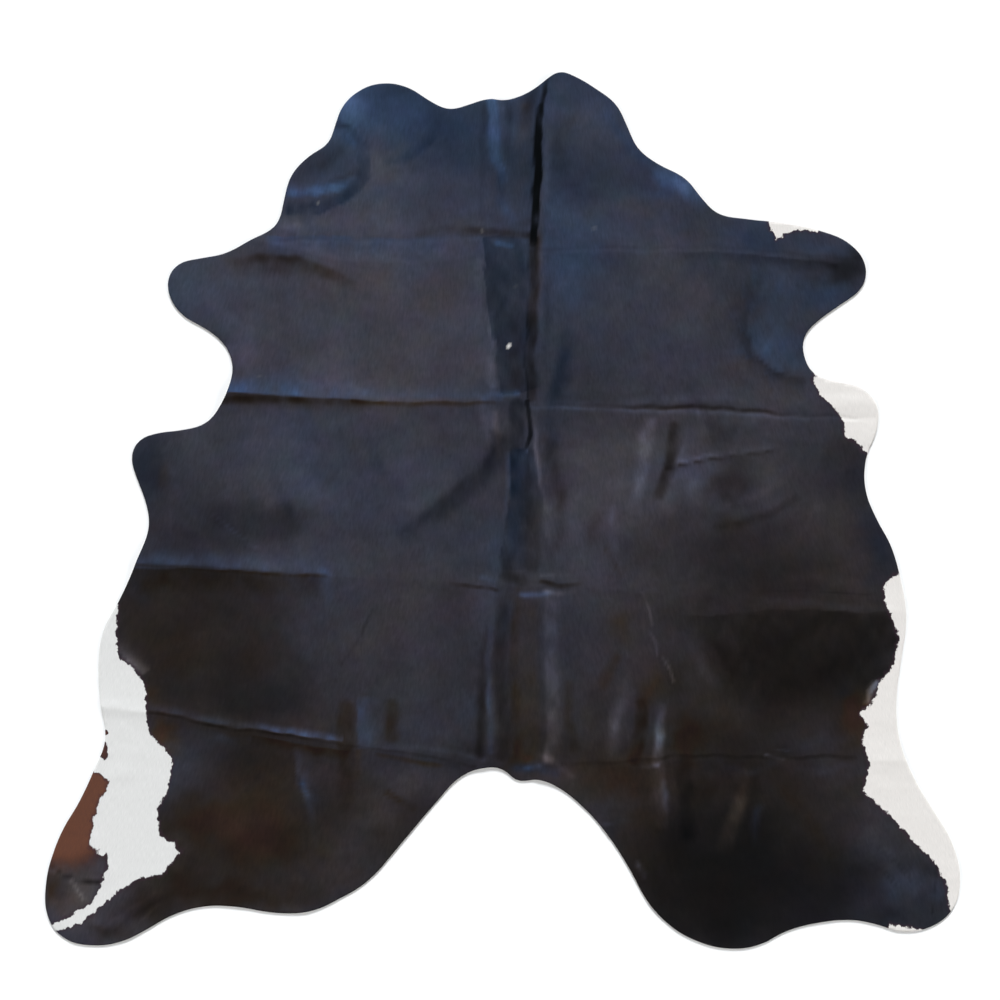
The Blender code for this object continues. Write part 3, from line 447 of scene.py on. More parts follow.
    # Painted highlight along the right rump's ripple.
    (((26.2, -58, 0.5), (26.8, -51), (30, -41, 0.4)), 2.8, 2.4, 0, 1.1, -0.15),
    (((34.4, -41, 0.7), (33.4, -46.5)), 2.6, 2.6, 0, -0.3, 0.2),
    (((27.6, -35, 0.5), (24.8, -42)), 2, 2, 0, -0.45, 0.5),
    # Painted shade in the hollow by the right rump's bead, and in the next row a painted highlight
    # on the bead.
    (((31.2, -59.6, 0.8), (33.2, -53), (33.2, -46, 0.6)), 2.6, 2.2, 0.2, -1.3, 0.75),
    (((37, -60, 0.5), (37.8, -54), (38, -47.6, 0.4)), 2.2, 2.1, 0.2, 2.1, -0.4),
    (((17, -57, 0.5), (15.6, -50), (16, -42, 0.5)), 1.9, 1.9, 0, -0.55, 0.45),
    # The left hind leg.
    (((-29, -57.2, 0.4), (-16, -58, 0.3), (-10, -58.6, 1), (-5, -60)), 1.4, 0.8, 0, 0.6, -0.2),
    (((-30, -58.8, 0.6), (-25, -59.8), (-15, -61.6)), 0.7, 1.2, 0, -0.4, 0.6),
    (((-37, -70, 0.5), (-37, -58.6)), 3.4, 2.4, 0.2, -0.65, 0.3),
    # Painted highlights along the ripple of the left thigh (this row and the next).
    (((-49.8, -66, 0.7), (-49.6, -61), (-50, -57, 0.5)), 0.7, 5.4, 0.1, 0.9, -0.6),
    (((-44.8, -80, 0.2), (-46.4, -72, 0.7), (-48, -66, 0.9)), 1.4, 1.4, 0, 0.7, -0.5),
    (((-48.4, -66.5), (-45.6, -69, 0.7)), 1.7, 1.7, 0, 0.4, -0.4),
    (((-27.8, -67.4), (-24, -70), (-21.6, -71.3, 0.6)), 1.1, 1.1, 0, -0.5, 0.5),
    (((-82, -72, 0.5), (-79, -62), (-83, -54, 0.4)), 0.4, 5, 0, 0.25, -0.3),
    (((-108.6, -85.2, 0.7), (-105.2, -87.6), (-102.4, -88.7), (-96.6, -89)),
     0.65, 0.65, 0.1, -1.7, 0.1),
    (((-103.4, -89), (-100.2, -93)), 0.8, 0.8, 0, 1, 0),
    (((-82, -90.6, 0.4), (-89, -95), (-96, -100.2, 0.6)), 0.8, 0.8, 0, 0.5, 0),
    (((-80, -93, 0.3), (-86, -97.6), (-90, -101.4, 0.6)), 0.8, 0.8, 0, 0.45, 0),
    (((-79, -91.5, 0.3), (-86, -95.4), (-93, -100.6, 0.6)), 0.8, 0.8, 0, -0.5, 0.1),
    (((-101, -100.5), (-92, -98)), 2, 2, 0, 0.4, -0.1),
    (((-50, -64.4, 0.7), (-48.4, -66)), 1.7, 1.7, 0, -0.7, 0),
    (((-34.6, -64, 0.4), (-34.6, -58)), 1.2, 1.2, 0, -0.1, 0.6),
    # The right hind leg.
    (((14, -60.6, 0.5), (40, -59.3), (85, -59)), 0.5, 1, 0.1, -0.6, 0.1),
    (((63.6, -57.4), (68, -57.8)), 0.5, 0.4, 0, 1, -0.3),
    (((62.2, -58.8), (67.2, -59.8)), 0.7, 0.5, 0.1, 1.6, -0.5),
    # Painted highlight along the ripple of the right thigh.
    (((39.2, -75, 0.5), (39, -68.5, 0.9), (38.4, -61, 0.5)), 4.4, 1.4, 0.1, 1.1, -0.2),
    (((44.4, -77), (43.8, -61, 0.8)), 2.6, 3, 0.2, -1, 0.05),
    (((53, -80, 0.8), (56.4, -73), (57.8, -64.5, 0.6)), 3.4, 3, 0.1, 1.3, 0.15),
    (((64, -62, 0.4), (71, -71), (79, -82, 0.6)), 3, 3, 0, -0.2, 0.35),
    (((60.6, -79, 0.5), (61.6, -71)), 1.6, 2, 0, 0.9, -0.8),
    (((22, -74.2), (24.6, -74.6), (31, -74.2, 0.3)), 0.4, 0.5, 0, 1, -0.3),
    (((32, -84.8), (33.4, -88)), 1.4, 1.4, 0, 1.6, -0.6),
    (((84, -78, 0.4), (95, -84.4), (101, -92, 0.5)), 0.6, 0.8, 0, -0.4, 0),
    (((82, -81, 0.4), (92, -86.6), (97, -94, 0.5)), 0.6, 0.8, 0, -0.35, 0),
    (((103.4, -97), (104, -84)), 0.5, 0.5, 0, -0.9, 0),
    (((33, -61.4, 0.6), (37.4, -61.2)), 1.1, 1.1, 0, 0.8, -0.3),
    (((39.8, -71.6, 0.6), (39.6, -68.6), (39, -65.6, 0.5)), 1.5, 1.5, 0, 0.9, -0.5),
)]
FLECKS = (          # of white hair: across, along, half width and half length in cm, and how white
    (1.5, 39.5, 0.2, 0.6, 1), (-13.8, 77, 0.3, 0.3, 0.04), (-4.9, 67, 0.4, 0.4, 0.08),
    (0, 67.7, 0.3, 0.3, 0.06), (22, 67.7, 0.35, 0.5, 0.04), (-44.4, 73.8, 0.3, 0.3, 0.15),
    (3.2, 54, 0.3, 0.3, 0.04), (-58.6, 32.2, 0.3, 0.6, 0.12))
FLECK_SOFTNESS = 1.4            # of a fleck's size, where it ends
# The hair lies slanted on both sides of the spine, and fully so from about this far out.
HAIR_SLANT = 0.25
HAIR_SLANT_WIDTH = 50           # cm

# A hide isn't even: the random clouds of its height, its tone and its warmth, each as big as its
# size in cm, and how far they bend the marks and blooms. Every layer has its own random waves.
Cloud = namedtuple("Cloud", "size share")
WAVES = 14
WAVE_SIZES = (0.7, 1.6)         # of its cloud's, at the least and at the most
MARK_BENDS = (Cloud(30, 0.25), Cloud(9, 0.12), Cloud(3.5, 0.05))    # cm
BROAD_BENDS = (Cloud(40, 3.0), Cloud(14, 1.5))      # of the broad blooms
BLOOM_BENDS = (Cloud(9, 0.6), Cloud(4, 0.3))        # of the others, which stay in their places
BROAD = 10                      # cm: half a broad bloom's narrower side is more than this
RIPPLES = (Cloud(16, 0.45), Cloud(6, 0.35), Cloud(2.5, 0.12))    # mm
RIPPLE_ROUNDING = 0.4           # mm: the ripples lift the coat, and hardly press it down
FOLD_UNEVENNESS = (Cloud(22, 0.16),)                    # of the rises
MARK_UNEVENNESS = (Cloud(14, 0.18), Cloud(4, 0.16))
TONE_CLOUDS = (Cloud(60, 0.08), Cloud(22, 0.07), Cloud(9, 0.05), Cloud(4, 0.04), Cloud(2, 0.03))
WARMTH_CLOUDS = (Cloud(50, 0.03), Cloud(18, 0.018), Cloud(6, 0.013), Cloud(2.5, 0.01))
TINT_CLOUDS = (Cloud(30, 0.012), Cloud(12, 0.018), Cloud(5, 0.012))    # of each primary colour
SEEDS = {
    "folds": 12, "ripples": 13, "tone": 20, "warmth": 30, "broad bends": 40, "bloom bends": 44,
    "mark bends": 50, "marks": 60, "red": 70, "green": 71, "blue": 72}

# Painted sheen: dark hair with the cool reflection of the window light painted into its colour.
BLUE_SHEEN_HAIR = (0.0195, 0.0327, 0.0643, 1)
WARM_HAIR = (0.0463, 0.0267, 0.0080, 1)
EVEN_WARMTH = 0.5
WARMTH_STEP = 0.5               # what one unit in the tables adds to it
WARMEST = 1.25                  # the warmth of the hair that is RED_HAIR all through
RED_FROM = 0.74                 # of WARMEST, where the hair begins to turn red
RED_HAIR = (0.048, 0.0245, 0.0175, 1)
BROWN_HAIR = (0.14, 0.053, 0.026, 1)
BROWN_HAIR_DEEP = (0.06, 0.028, 0.024, 1)
FRINGE_HAIR = (0.032, 0.0155, 0.024, 1)     # the dark hair round a white patch
WHITE_HAIR_LEFT = (0.65, 0.645, 0.633, 1)
WHITE_HAIR_RIGHT = (0.695, 0.664, 0.635, 1)
WHITE_HAIR_SHADE = 0.86         # of the deeper hairs among the white ones
HAIR_SHINE = 0.02
HAIR_ROUGHNESS = (0.62, 0.74)
HAIR_BUMP = 0.3 * MM
# How fine the noises are, per metre: across the hair, along it, and upwards.
HAIRS = (900.0, 60.0, 1.0)
CLUMPS = (160.0, 40.0, 1.0)
TUFTS = (420.0, 130.0, 1.0)     # of a patch's border
RAGS = (75.0, 60.0, 1.0)
MOTTLE = 6.0
RAG_DEPTH = 2.2                 # cm, how much they move the border, from end to end
TUFT_DEPTH = 0.5
# Where a patch's colour begins and is full, in cm inside its border.
BROWN_BORDER = (-3.5, 2.5)
FRINGE_BORDER = (-0.9, -0.1)
WHITE_BORDER = (-0.1, 0.15)
FRINGE_POWER = 0.55
HAIR_PAINTED_SHEEN = (0.0016, 0.0020, 0.0022, 1)     # painted sheen: the glossy tips' cool reflection from above, added to every hair's colour
HAIR_SHINE_TINT = (0.62, 0.78, 1.0, 1)
SUEDE = (0.42, 0.36, 0.29, 1)
SUEDE_DEEP = (0.33, 0.28, 0.23, 1)
SUEDE_PALE = (0.55, 0.50, 0.43, 1)
NAP = 700.0                     # per metre
NAP_BUMP = 0.2 * MM
SUEDE_PATCHES = 9.0
FLOOR_COLOUR = (0.9, 0.9, 0.9, 1)

Sun = namedtuple("Sun", "name heading elevation power colour softness")
SUNS = (
    Sun("window", 0, 30, 4.2, (0.94, 0.97, 1.0), 20),
    Sun("left_fill", -105, 22, 1.6, (1, 1, 1), 40),
    Sun("right_fill", 105, 22, 1.6, (1, 0.99, 0.97), 40),
)
ROOM_COLOUR = (0.96, 0.98, 1.0, 1)
ROOM_LIGHT = 0.9
ROOM_LIGHT_OVERHEAD = 0.05
ROOM_DIMS = (0.15, 0.75)        # the heights on a globe between which the room grows dim

PHOTO_SPAN = 2.4                # metres of floor across the photo
PHOTO_MIDDLE = (-0.6 * CM, 2.5 * CM)
CAMERA_HEIGHT = 6.0
SENSOR = 36.0                   # mm
FLOOR_SIZE = 60.0
FLOOR_DROP = 0.3 * MM           # so that the floor and the underside don't lie in one plane


# --- Shapes ------------------------------------------------------------------------------------

def smooth(t):
    """A soft step from 0 to 1."""
    t = np.clip(t, 0, 1)
    return t * t * (3 - 2 * t)


def to_path(points, path, closed=False):
    """The nearest point of a path to each point, and how far it is."""
    path = np.asarray(path, float)
    ends = np.roll(path, -1, 0) if closed else path[1:]
    nearest = np.zeros_like(points)
    shortest = np.full(len(points), np.inf)
    for start, end in zip(path, ends):
        run = end - start
        share = np.clip((points - start) @ run / max(run @ run, 1e-12), 0, 1)
        there = start + share[:, None] * run
        far = np.hypot(*(points - there).T)
        closer = far < shortest
        nearest[closer] = there[closer]
        shortest[closer] = far[closer]
    return nearest, shortest


def inside(points, ring):
    """Whether each point lies inside a ring."""
    ring = np.asarray(ring, float)
    crossings = np.zeros(len(points), int)
    across, along = points.T
    for (x0, y0), (x1, y1) in zip(ring, np.roll(ring, -1, 0)):
        spans = (y0 > along) != (y1 > along)
        crossings += spans & (across < (x1 - x0) * (along - y0) / (y1 - y0 + (y1 == y0)) + x0)
    return crossings % 2 == 1


def depth_in(points, ring):
    """How deep each point lies inside a ring, or below zero how far outside."""
    _, far = to_path(points, ring, closed=True)
    return np.where(inside(points, ring), far, -far)


def strength(points, mark):
    """How strong a mark along a path is at each point, from 0 to 1. A mark that reaches much
    further to one side ends as suddenly as it does on the other."""
    path = np.array([(*turn, 1.0)[:3] for turn in mark.path])
    turns, powers = path[:, :2], path[:, 2]
    widest = max(mark.left, mark.right)
    end_reach = max(min(mark.left, mark.right), widest * MARK_END)
    near = ((points > turns.min(0) - widest) & (points < turns.max(0) + widest)).all(1)
    there = points[near]
    best = np.zeros(len(there))
    last = len(turns) - 2
    for number, (start, end) in enumerate(zip(turns, turns[1:])):
        length = math.dist(start, end)
        run = (end - start) / length
        ahead = (there - start) @ run
        aside = (there - start) @ (-run[1], run[0])
        share = np.clip(ahead / length, 0, 1)
        reach = np.where(aside > 0, mark.left, mark.right)
        at_end = ((ahead < 0) & (number == 0)) | ((ahead > length) & (number == last))
        past = (ahead - share * length) / np.where(at_end, end_reach, reach)
        far = np.hypot(aside / reach, past)
        power = powers[number] + (powers[number + 1] - powers[number]) * share
        best = np.maximum(best, power * smooth((1 - far) / (1 - mark.core)))
    result = np.zeros(len(points))
    result[near] = best
    return result


def clouds(points, layers, seed):
    """Smooth random values at points in cm, about zero."""
    total = np.zeros(len(points))
    for number, layer in enumerate(layers):
        chance = np.random.default_rng((seed, number))
        heading, phase = chance.uniform(0, 2 * math.pi, (2, WAVES))
        pace = 2 * math.pi / (layer.size * chance.uniform(*WAVE_SIZES, WAVES))
        waves = np.cos(points @ np.stack([np.cos(heading), np.sin(heading)]) * pace + phase)
        total += layer.share * math.sqrt(2 / WAVES) * waves.sum(1)
    return total


def bent(points, layers, seed):
    """Points in cm moved about a little."""
    return points + np.stack([clouds(points, layers, seed + side) for side in (0, 1)], 1)


def fold_height(fold, stations, station, place):
    """How far one fold lifts the underside at some places, in mm."""
    offset = place - np.interp(station, stations, fold.places)
    rise = np.interp(station, stations, fold.rises)
    reach = np.where(offset < 0, fold.reach_below, fold.reach_above)
    rounded = np.hypot(offset, CREST_RADIUS) - CREST_RADIUS
    away = np.clip(rounded / reach, 0, 1)
    return np.where(rise >= 0, rise * (1 - away) ** 2, -rise * 4 * away * (1 - away))


def height(points):
    """How far the folds and creases lift the hide at points in cm, in mm. A crease that is a
    trough can take it below zero."""
    across, along = points.T
    total = np.zeros(len(points))
    for fold in FOLDS_ACROSS:
        total += fold_height(fold, STATIONS_ACROSS, across, along) ** FOLD_BLEND
    for fold in FOLDS_ALONG:
        total += fold_height(fold, STATIONS_ALONG, along, across) ** FOLD_BLEND
    total = total ** (1 / FOLD_BLEND)
    for_marks = bent(points, MARK_BENDS, SEEDS["mark bends"])
    for crease in CREASES:
        total += crease.rise * strength(for_marks, crease)
    return total * (1 + clouds(points, FOLD_UNEVENNESS, SEEDS["folds"]))


def leather_floor(points):
    """The leather's underside at points in cm, in metres."""
    return np.maximum(height(points), 0) * LEATHER_RISE * MM


def coat_top(points):
    """The coat's surface at points in cm, in metres."""
    ripple = clouds(points, RIPPLES, SEEDS["ripples"])
    ripple = (ripple + np.hypot(ripple, RIPPLE_ROUNDING)) / 2
    raised = np.maximum(height(points) + ripple - RIPPLE_ROUNDING / 2, -COAT_PRESSED)
    return LEATHER_THICKNESS + COAT_THICKNESS + raised * MM


# --- The outline and the net -------------------------------------------------------------------

def hide_outline():
    """The lower rim of the frame's solid, in cm, in order and at even steps, with its corners
    rounded off."""
    shape = bmesh.new()
    shape.from_mesh(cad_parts["hide"].data)
    bmesh.ops.remove_doubles(shape, verts=shape.verts, dist=WELD)
    shape.normal_update()
    after = {}
    for edge in shape.edges:
        slopes = [face.normal.z for face in edge.link_faces]
        if sum(abs(slope) > LEVEL for slope in slopes) == 1 and min(slopes) < -LEVEL:
            start, end = edge.verts
            after.setdefault(start, []).append(end)
            after.setdefault(end, []).append(start)
    first = next(iter(after))
    ring, here, before = [first], after[first][0], first
    while here != first:
        ring.append(here)
        here, before = next(point for point in after[here] if point != before), here
    corners = np.array([point.co.xy for point in ring]) / CM
    shape.free()
    closed = np.vstack([corners, corners[:1]])
    run = np.concatenate([[0], np.cumsum(np.hypot(*np.diff(closed, axis=0).T))])
    steps = np.linspace(0, run[-1], round(run[-1] / OUTLINE_STEP), endpoint=False)
    even = np.stack([np.interp(steps, run, closed[:, k]) for k in (0, 1)], 1)
    nearby = range(-OUTLINE_ROUNDING, OUTLINE_ROUNDING + 1)
    return np.mean([np.roll(even, step, 0) for step in nearby], 0)


def net_lines(folds, half_size, spacing):
    """The net's lines of one family. Each is the number of the crest before it, with the border
    as number 0, and its share of the way on to the next. They are closer together at the crests."""
    crests = [-half_size] + [np.mean(fold.places) for fold in folds] + [half_size]
    lines = []
    for number, (start, end) in enumerate(zip(crests[:-1], crests[1:])):
        step = np.linspace(0, 1, round((end - start) / spacing), endpoint=False)
        lines.extend(number + step - CLUSTERING * np.sin(2 * math.pi * step) / (2 * math.pi))
    return np.array(lines + [len(folds) + 0.999])


def line_places(lines, folds, stations, station, half_size):
    """Where the lines of one family lie, at stations along them."""
    border = np.full_like(station, half_size)
    crests = [np.interp(station, stations, fold.places) for fold in folds]
    crests = np.stack([-border, *crests, border])
    number = np.broadcast_to(lines.astype(int), station.shape)[None]
    low = np.take_along_axis(crests, number, 0)[0]
    high = np.take_along_axis(crests, number + 1, 0)[0]
    return low + (high - low) * (lines % 1)


def net_points(spacing):
    """The crossings of the net's lines, in cm, as a grid of points."""
    columns = net_lines(FOLDS_ALONG, NET_HALF_WIDTH, spacing)
    rows = net_lines(FOLDS_ACROSS, NET_HALF_LENGTH, spacing)[:, None]
    across = along = np.zeros((len(rows), len(columns)))
    for _ in range(NET_PASSES):
        across = line_places(columns, FOLDS_ALONG, STATIONS_ALONG, along, NET_HALF_WIDTH)
        along = line_places(rows, FOLDS_ACROSS, STATIONS_ACROSS, across, NET_HALF_LENGTH)
    return np.stack([across, along], -1)


def trimmed_net(spacing, ring):
    """The net, flat and in cm, trimmed to the outline, as a bmesh. Faces that the outline crosses
    are cut along it."""
    net = net_points(spacing)
    rows, columns, _ = net.shape
    points = net.reshape(-1, 2)
    number = np.arange(rows * columns).reshape(rows, columns)
    faces = [number[:-1, :-1], number[:-1, 1:], number[1:, 1:], number[1:, :-1]]
    faces = np.stack(faces, -1).reshape(-1, 4)
    kept = inside(points, ring)
    faces = faces[kept[faces].any(1)]
    border = np.unique(faces[~kept[faces].all(1)])
    near, far = to_path(points[border], ring, closed=True)
    snapped = far < SNAP * spacing
    points[border[snapped]] = near[snapped]
    depth = np.where(kept, spacing, -spacing)
    depth[border] = np.where(snapped, 0, np.where(kept[border], far, -far))
    used, faces = np.unique(faces, return_inverse=True)
    mesh = bpy.data.meshes.new("net")
    flat = np.column_stack([points[used], np.zeros(len(used))])
    mesh.from_pydata(flat.tolist(), [], faces.reshape(-1, 4).tolist())
    shape = bmesh.new()
    shape.from_mesh(mesh)
    bpy.data.meshes.remove(mesh)
    deep = shape.verts.layers.float.new("depth")
    for point, value in zip(shape.verts, depth[used]):
        point[deep] = value
    crossed = [edge for edge in shape.edges if edge.verts[0][deep] * edge.verts[1][deep] < 0]
    for edge in crossed:
        start, end = edge.verts
        share = start[deep] / (start[deep] - end[deep])
        bmesh.utils.edge_split(edge, start, share)[1][deep] = 0
    for face in list(shape.faces):
        depths = [point[deep] for point in face.verts]
        if min(depths) < 0 < max(depths):
            on_line = [point for point in face.verts if point[deep] == 0]
            if len(on_line) == 2:
                bmesh.utils.face_split(face, *on_line)
    outside = [face for face in shape.faces if min(point[deep] for point in face.verts) < 0]
    bmesh.ops.delete(shape, geom=outside, context="FACES")
    loose = [point for point in shape.verts if not point.link_faces]
    bmesh.ops.delete(shape, geom=loose, context="VERTS")
    shape.verts.layers.float.remove(deep)
    return shape


def places_of(shape):
    """The places of a bmesh's points, in its own unit."""
    return np.array([point.co.xy for point in shape.verts])


def lift(shape, heights):
    """Turns a flat bmesh in cm into one in metres, at these heights."""
    for point, z in zip(shape.verts, heights):
        point.co = (point.co.x * CM, point.co.y * CM, z)


def finished(name, shape):
    """A bmesh as a smooth object."""
    mesh = bpy.data.meshes.new(name)
    shape.to_mesh(mesh)
    shape.free()
    mesh.shade_smooth()
    piece = bpy.data.objects.new(name, mesh)
    bpy.context.scene.collection.objects.link(piece)
    return piece


# --- Materials ---------------------------------------------------------------------------------

def new_material(name):
    """A material, its node tree and its shader."""
    finish = bpy.data.materials.new(name)
    finish.use_nodes = True
    return finish, finish.node_tree, finish.node_tree.nodes["Principled BSDF"]


def linked(tree, socket, value):
    """Gives a node's input a value, or links it to another node's output."""
    if isinstance(value, bpy.types.NodeSocket):
        tree.links.new(value, socket)
    elif value is not None:
        socket.default_value = value


def attribute(tree, name):
    """A float that the mesh holds."""
    node = tree.nodes.new("ShaderNodeAttribute")
    node.attribute_name = name
    return node.outputs["Fac"]


def vector_attribute(tree, name):
    """A vector that the mesh holds."""
    node = tree.nodes.new("ShaderNodeAttribute")
    node.attribute_name = name
    return node.outputs["Vector"]


def calculated(tree, operation, *values):
    """The result of a math node."""
    node = tree.nodes.new("ShaderNodeMath")
    node.operation = operation
    for socket, value in zip(node.inputs, values):
        linked(tree, socket, value)
    return node.outputs["Value"]


def ranged(tree, value, low, high, to_low=0.0, to_high=1.0):
    """A value moved from one range to another, softly."""
    node = tree.nodes.new("ShaderNodeMapRange")
    node.interpolation_type = "SMOOTHSTEP"
    for name, number in (("Value", value), ("From Min", low), ("From Max", high),
                         ("To Min", to_low), ("To Max", to_high)):
        linked(tree, node.inputs[name], number)
    return node.outputs["Result"]


def mixed(tree, share, first, second, blend="MIX"):
    """Two colours mixed."""
    node = tree.nodes.new("ShaderNodeMix")
    node.data_type = "RGBA"
    node.blend_type = blend
    linked(tree, node.inputs["Factor"], share)
    linked(tree, node.inputs["A"], first)
    linked(tree, node.inputs["B"], second)
    return node.outputs["Result"]


def stretched(tree, vector, scale):
    """A vector scaled by another."""
    node = tree.nodes.new("ShaderNodeMapping")
    linked(tree, node.inputs["Vector"], vector)
    linked(tree, node.inputs["Scale"], scale)
    return node.outputs["Vector"]


def noise(tree, vector, scale, detail=2.0, roughness=0.5):
    """Cloudy noise, about 0.5."""
    node = tree.nodes.new("ShaderNodeTexNoise")
    linked(tree, node.inputs["Vector"], vector)
    linked(tree, node.inputs["Scale"], scale)
    linked(tree, node.inputs["Detail"], detail)
    linked(tree, node.inputs["Roughness"], roughness)
    return node.outputs["Fac"]


def bumped(tree, shader, heights, distance, power=1.0):
    """Gives a shader's surface small heights."""
    bump = tree.nodes.new("ShaderNodeBump")
    bump.inputs["Distance"].default_value = distance
    bump.inputs["Strength"].default_value = power
    linked(tree, bump.inputs["Height"], heights)
    linked(tree, shader.inputs["Normal"], bump.outputs["Normal"])


def about(tree, value, spread, middle=0.0):
    """Noise about 0.5, spread out about another middle."""
    return calculated(tree, "MULTIPLY_ADD", value, spread, middle - spread / 2)


def coat_material():
    """Short hair that lies flat: black-brown, from cool with a painted blue sheen to warm, with
    brown and white patches, painted shade and highlights, and a painted sheen on every hair.
    """
    finish, tree, shader = new_material("hair")
    place = vector_attribute(tree, "place")
    lie = vector_attribute(tree, "lie")
    hairs = noise(tree, stretched(tree, lie, HAIRS), 1.0, 3.0)
    clumps = noise(tree, stretched(tree, lie, CLUMPS), 1.0, 2.0)
    mottle = noise(tree, place, MOTTLE, 3.0)

    warmth = attribute(tree, "warmth")
    # From hair with a painted blue sheen, where warmth is low, to warm brown hair.
    dark = mixed(tree, warmth, BLUE_SHEEN_HAIR, WARM_HAIR)
    dark = mixed(tree, ranged(tree, warmth, RED_FROM, 1.0), dark, RED_HAIR)
    grain = calculated(tree, "MULTIPLY_ADD", hairs, 0.5, about(tree, clumps, 0.5, 0.75))
    # Its tone: random and patchy, and with the painted sheen, shade and highlights of the blooms
    # and streaks.
    shade = calculated(tree, "MULTIPLY", attribute(tree, "shade"), grain)
    shade = calculated(tree, "MULTIPLY", shade, about(tree, mottle, 0.5, 1.0))
    dark = mixed(tree, 1.0, dark, shade, "MULTIPLY")
    dark = mixed(tree, 1.0, dark, vector_attribute(tree, "tint"), "MULTIPLY")

    brown = mixed(tree, hairs, BROWN_HAIR_DEEP, BROWN_HAIR)
    deeper = ranged(tree, attribute(tree, "brown"), -1.5, 3.5, 0.55, 1.0)
    brown = mixed(tree, 1.0, brown, deeper, "MULTIPLY")
    ragged = about(tree, noise(tree, stretched(tree, place, RAGS), 1.0, 3.0, 0.55), RAG_DEPTH)
    tufts = about(tree, noise(tree, stretched(tree, lie, TUFTS), 1.0, 2.0), TUFT_DEPTH)
    ragged = calculated(tree, "ADD", ragged, tufts)
    brown_depth = calculated(tree, "ADD", attribute(tree, "brown"), ragged)
    dark = mixed(tree, ranged(tree, brown_depth, *BROWN_BORDER), dark, brown)

    white_depth = calculated(tree, "ADD", attribute(tree, "white"), ragged)
    fringe = ranged(tree, white_depth, *FRINGE_BORDER, 0.0, FRINGE_POWER)
    dark = mixed(tree, fringe, dark, FRINGE_HAIR)
    side = ranged(tree, attribute(tree, "side"), -0.5, 0.5)
    white = mixed(tree, side, WHITE_HAIR_LEFT, WHITE_HAIR_RIGHT)
    deeper = ranged(tree, hairs, 0.2, 0.8, WHITE_HAIR_SHADE, 1.0)
    white = mixed(tree, 1.0, white, deeper, "MULTIPLY")
    share = ranged(tree, white_depth, *WHITE_BORDER)
    share = calculated(tree, "MAXIMUM", share, attribute(tree, "fleck"))
    colour = mixed(tree, share, dark, white)
    # A painted sheen, the same on every hair.
    colour = mixed(tree, 1.0, colour, HAIR_PAINTED_SHEEN, "ADD")

    linked(tree, shader.inputs["Base Color"], colour)
    linked(tree, shader.inputs["Roughness"], ranged(tree, clumps, 0.2, 0.8, *HAIR_ROUGHNESS))
    shader.inputs["Specular IOR Level"].default_value = HAIR_SHINE
    shader.inputs["Specular Tint"].default_value = HAIR_SHINE_TINT
    bumped(tree, shader, hairs, HAIR_BUMP, 0.5)
    return finish


def leather_material():
    """Bare tanned leather: the suede of the underside and the pale cut edge."""
    finish, tree, shader = new_material("suede")
    place = tree.nodes.new("ShaderNodeTexCoord").outputs["Object"]
    nap = noise(tree, place, NAP, 3.0)
    patches = noise(tree, place, SUEDE_PATCHES, 4.0)
    colour = mixed(tree, patches, SUEDE_DEEP, SUEDE)
    colour = mixed(tree, ranged(tree, nap, 0.3, 0.7, 0.0, 0.35), colour, SUEDE_PALE)
    linked(tree, shader.inputs["Base Color"], colour)
    linked(tree, shader.inputs["Roughness"], ranged(tree, nap, 0.2, 0.8, 0.85, 0.98))
    shader.inputs["Specular IOR Level"].default_value = 0.2
    bumped(tree, shader, nap, NAP_BUMP)
    return finish


def floor_material():
    """A plain pale floor."""
    finish, _, shader = new_material("pale_floor")
    shader.inputs["Base Color"].default_value = FLOOR_COLOUR
    shader.inputs["Roughness"].default_value = 0.9
    shader.inputs["Specular IOR Level"].default_value = 0.1
    return finish


# --- Pieces ------------------------------------------------------------------------------------

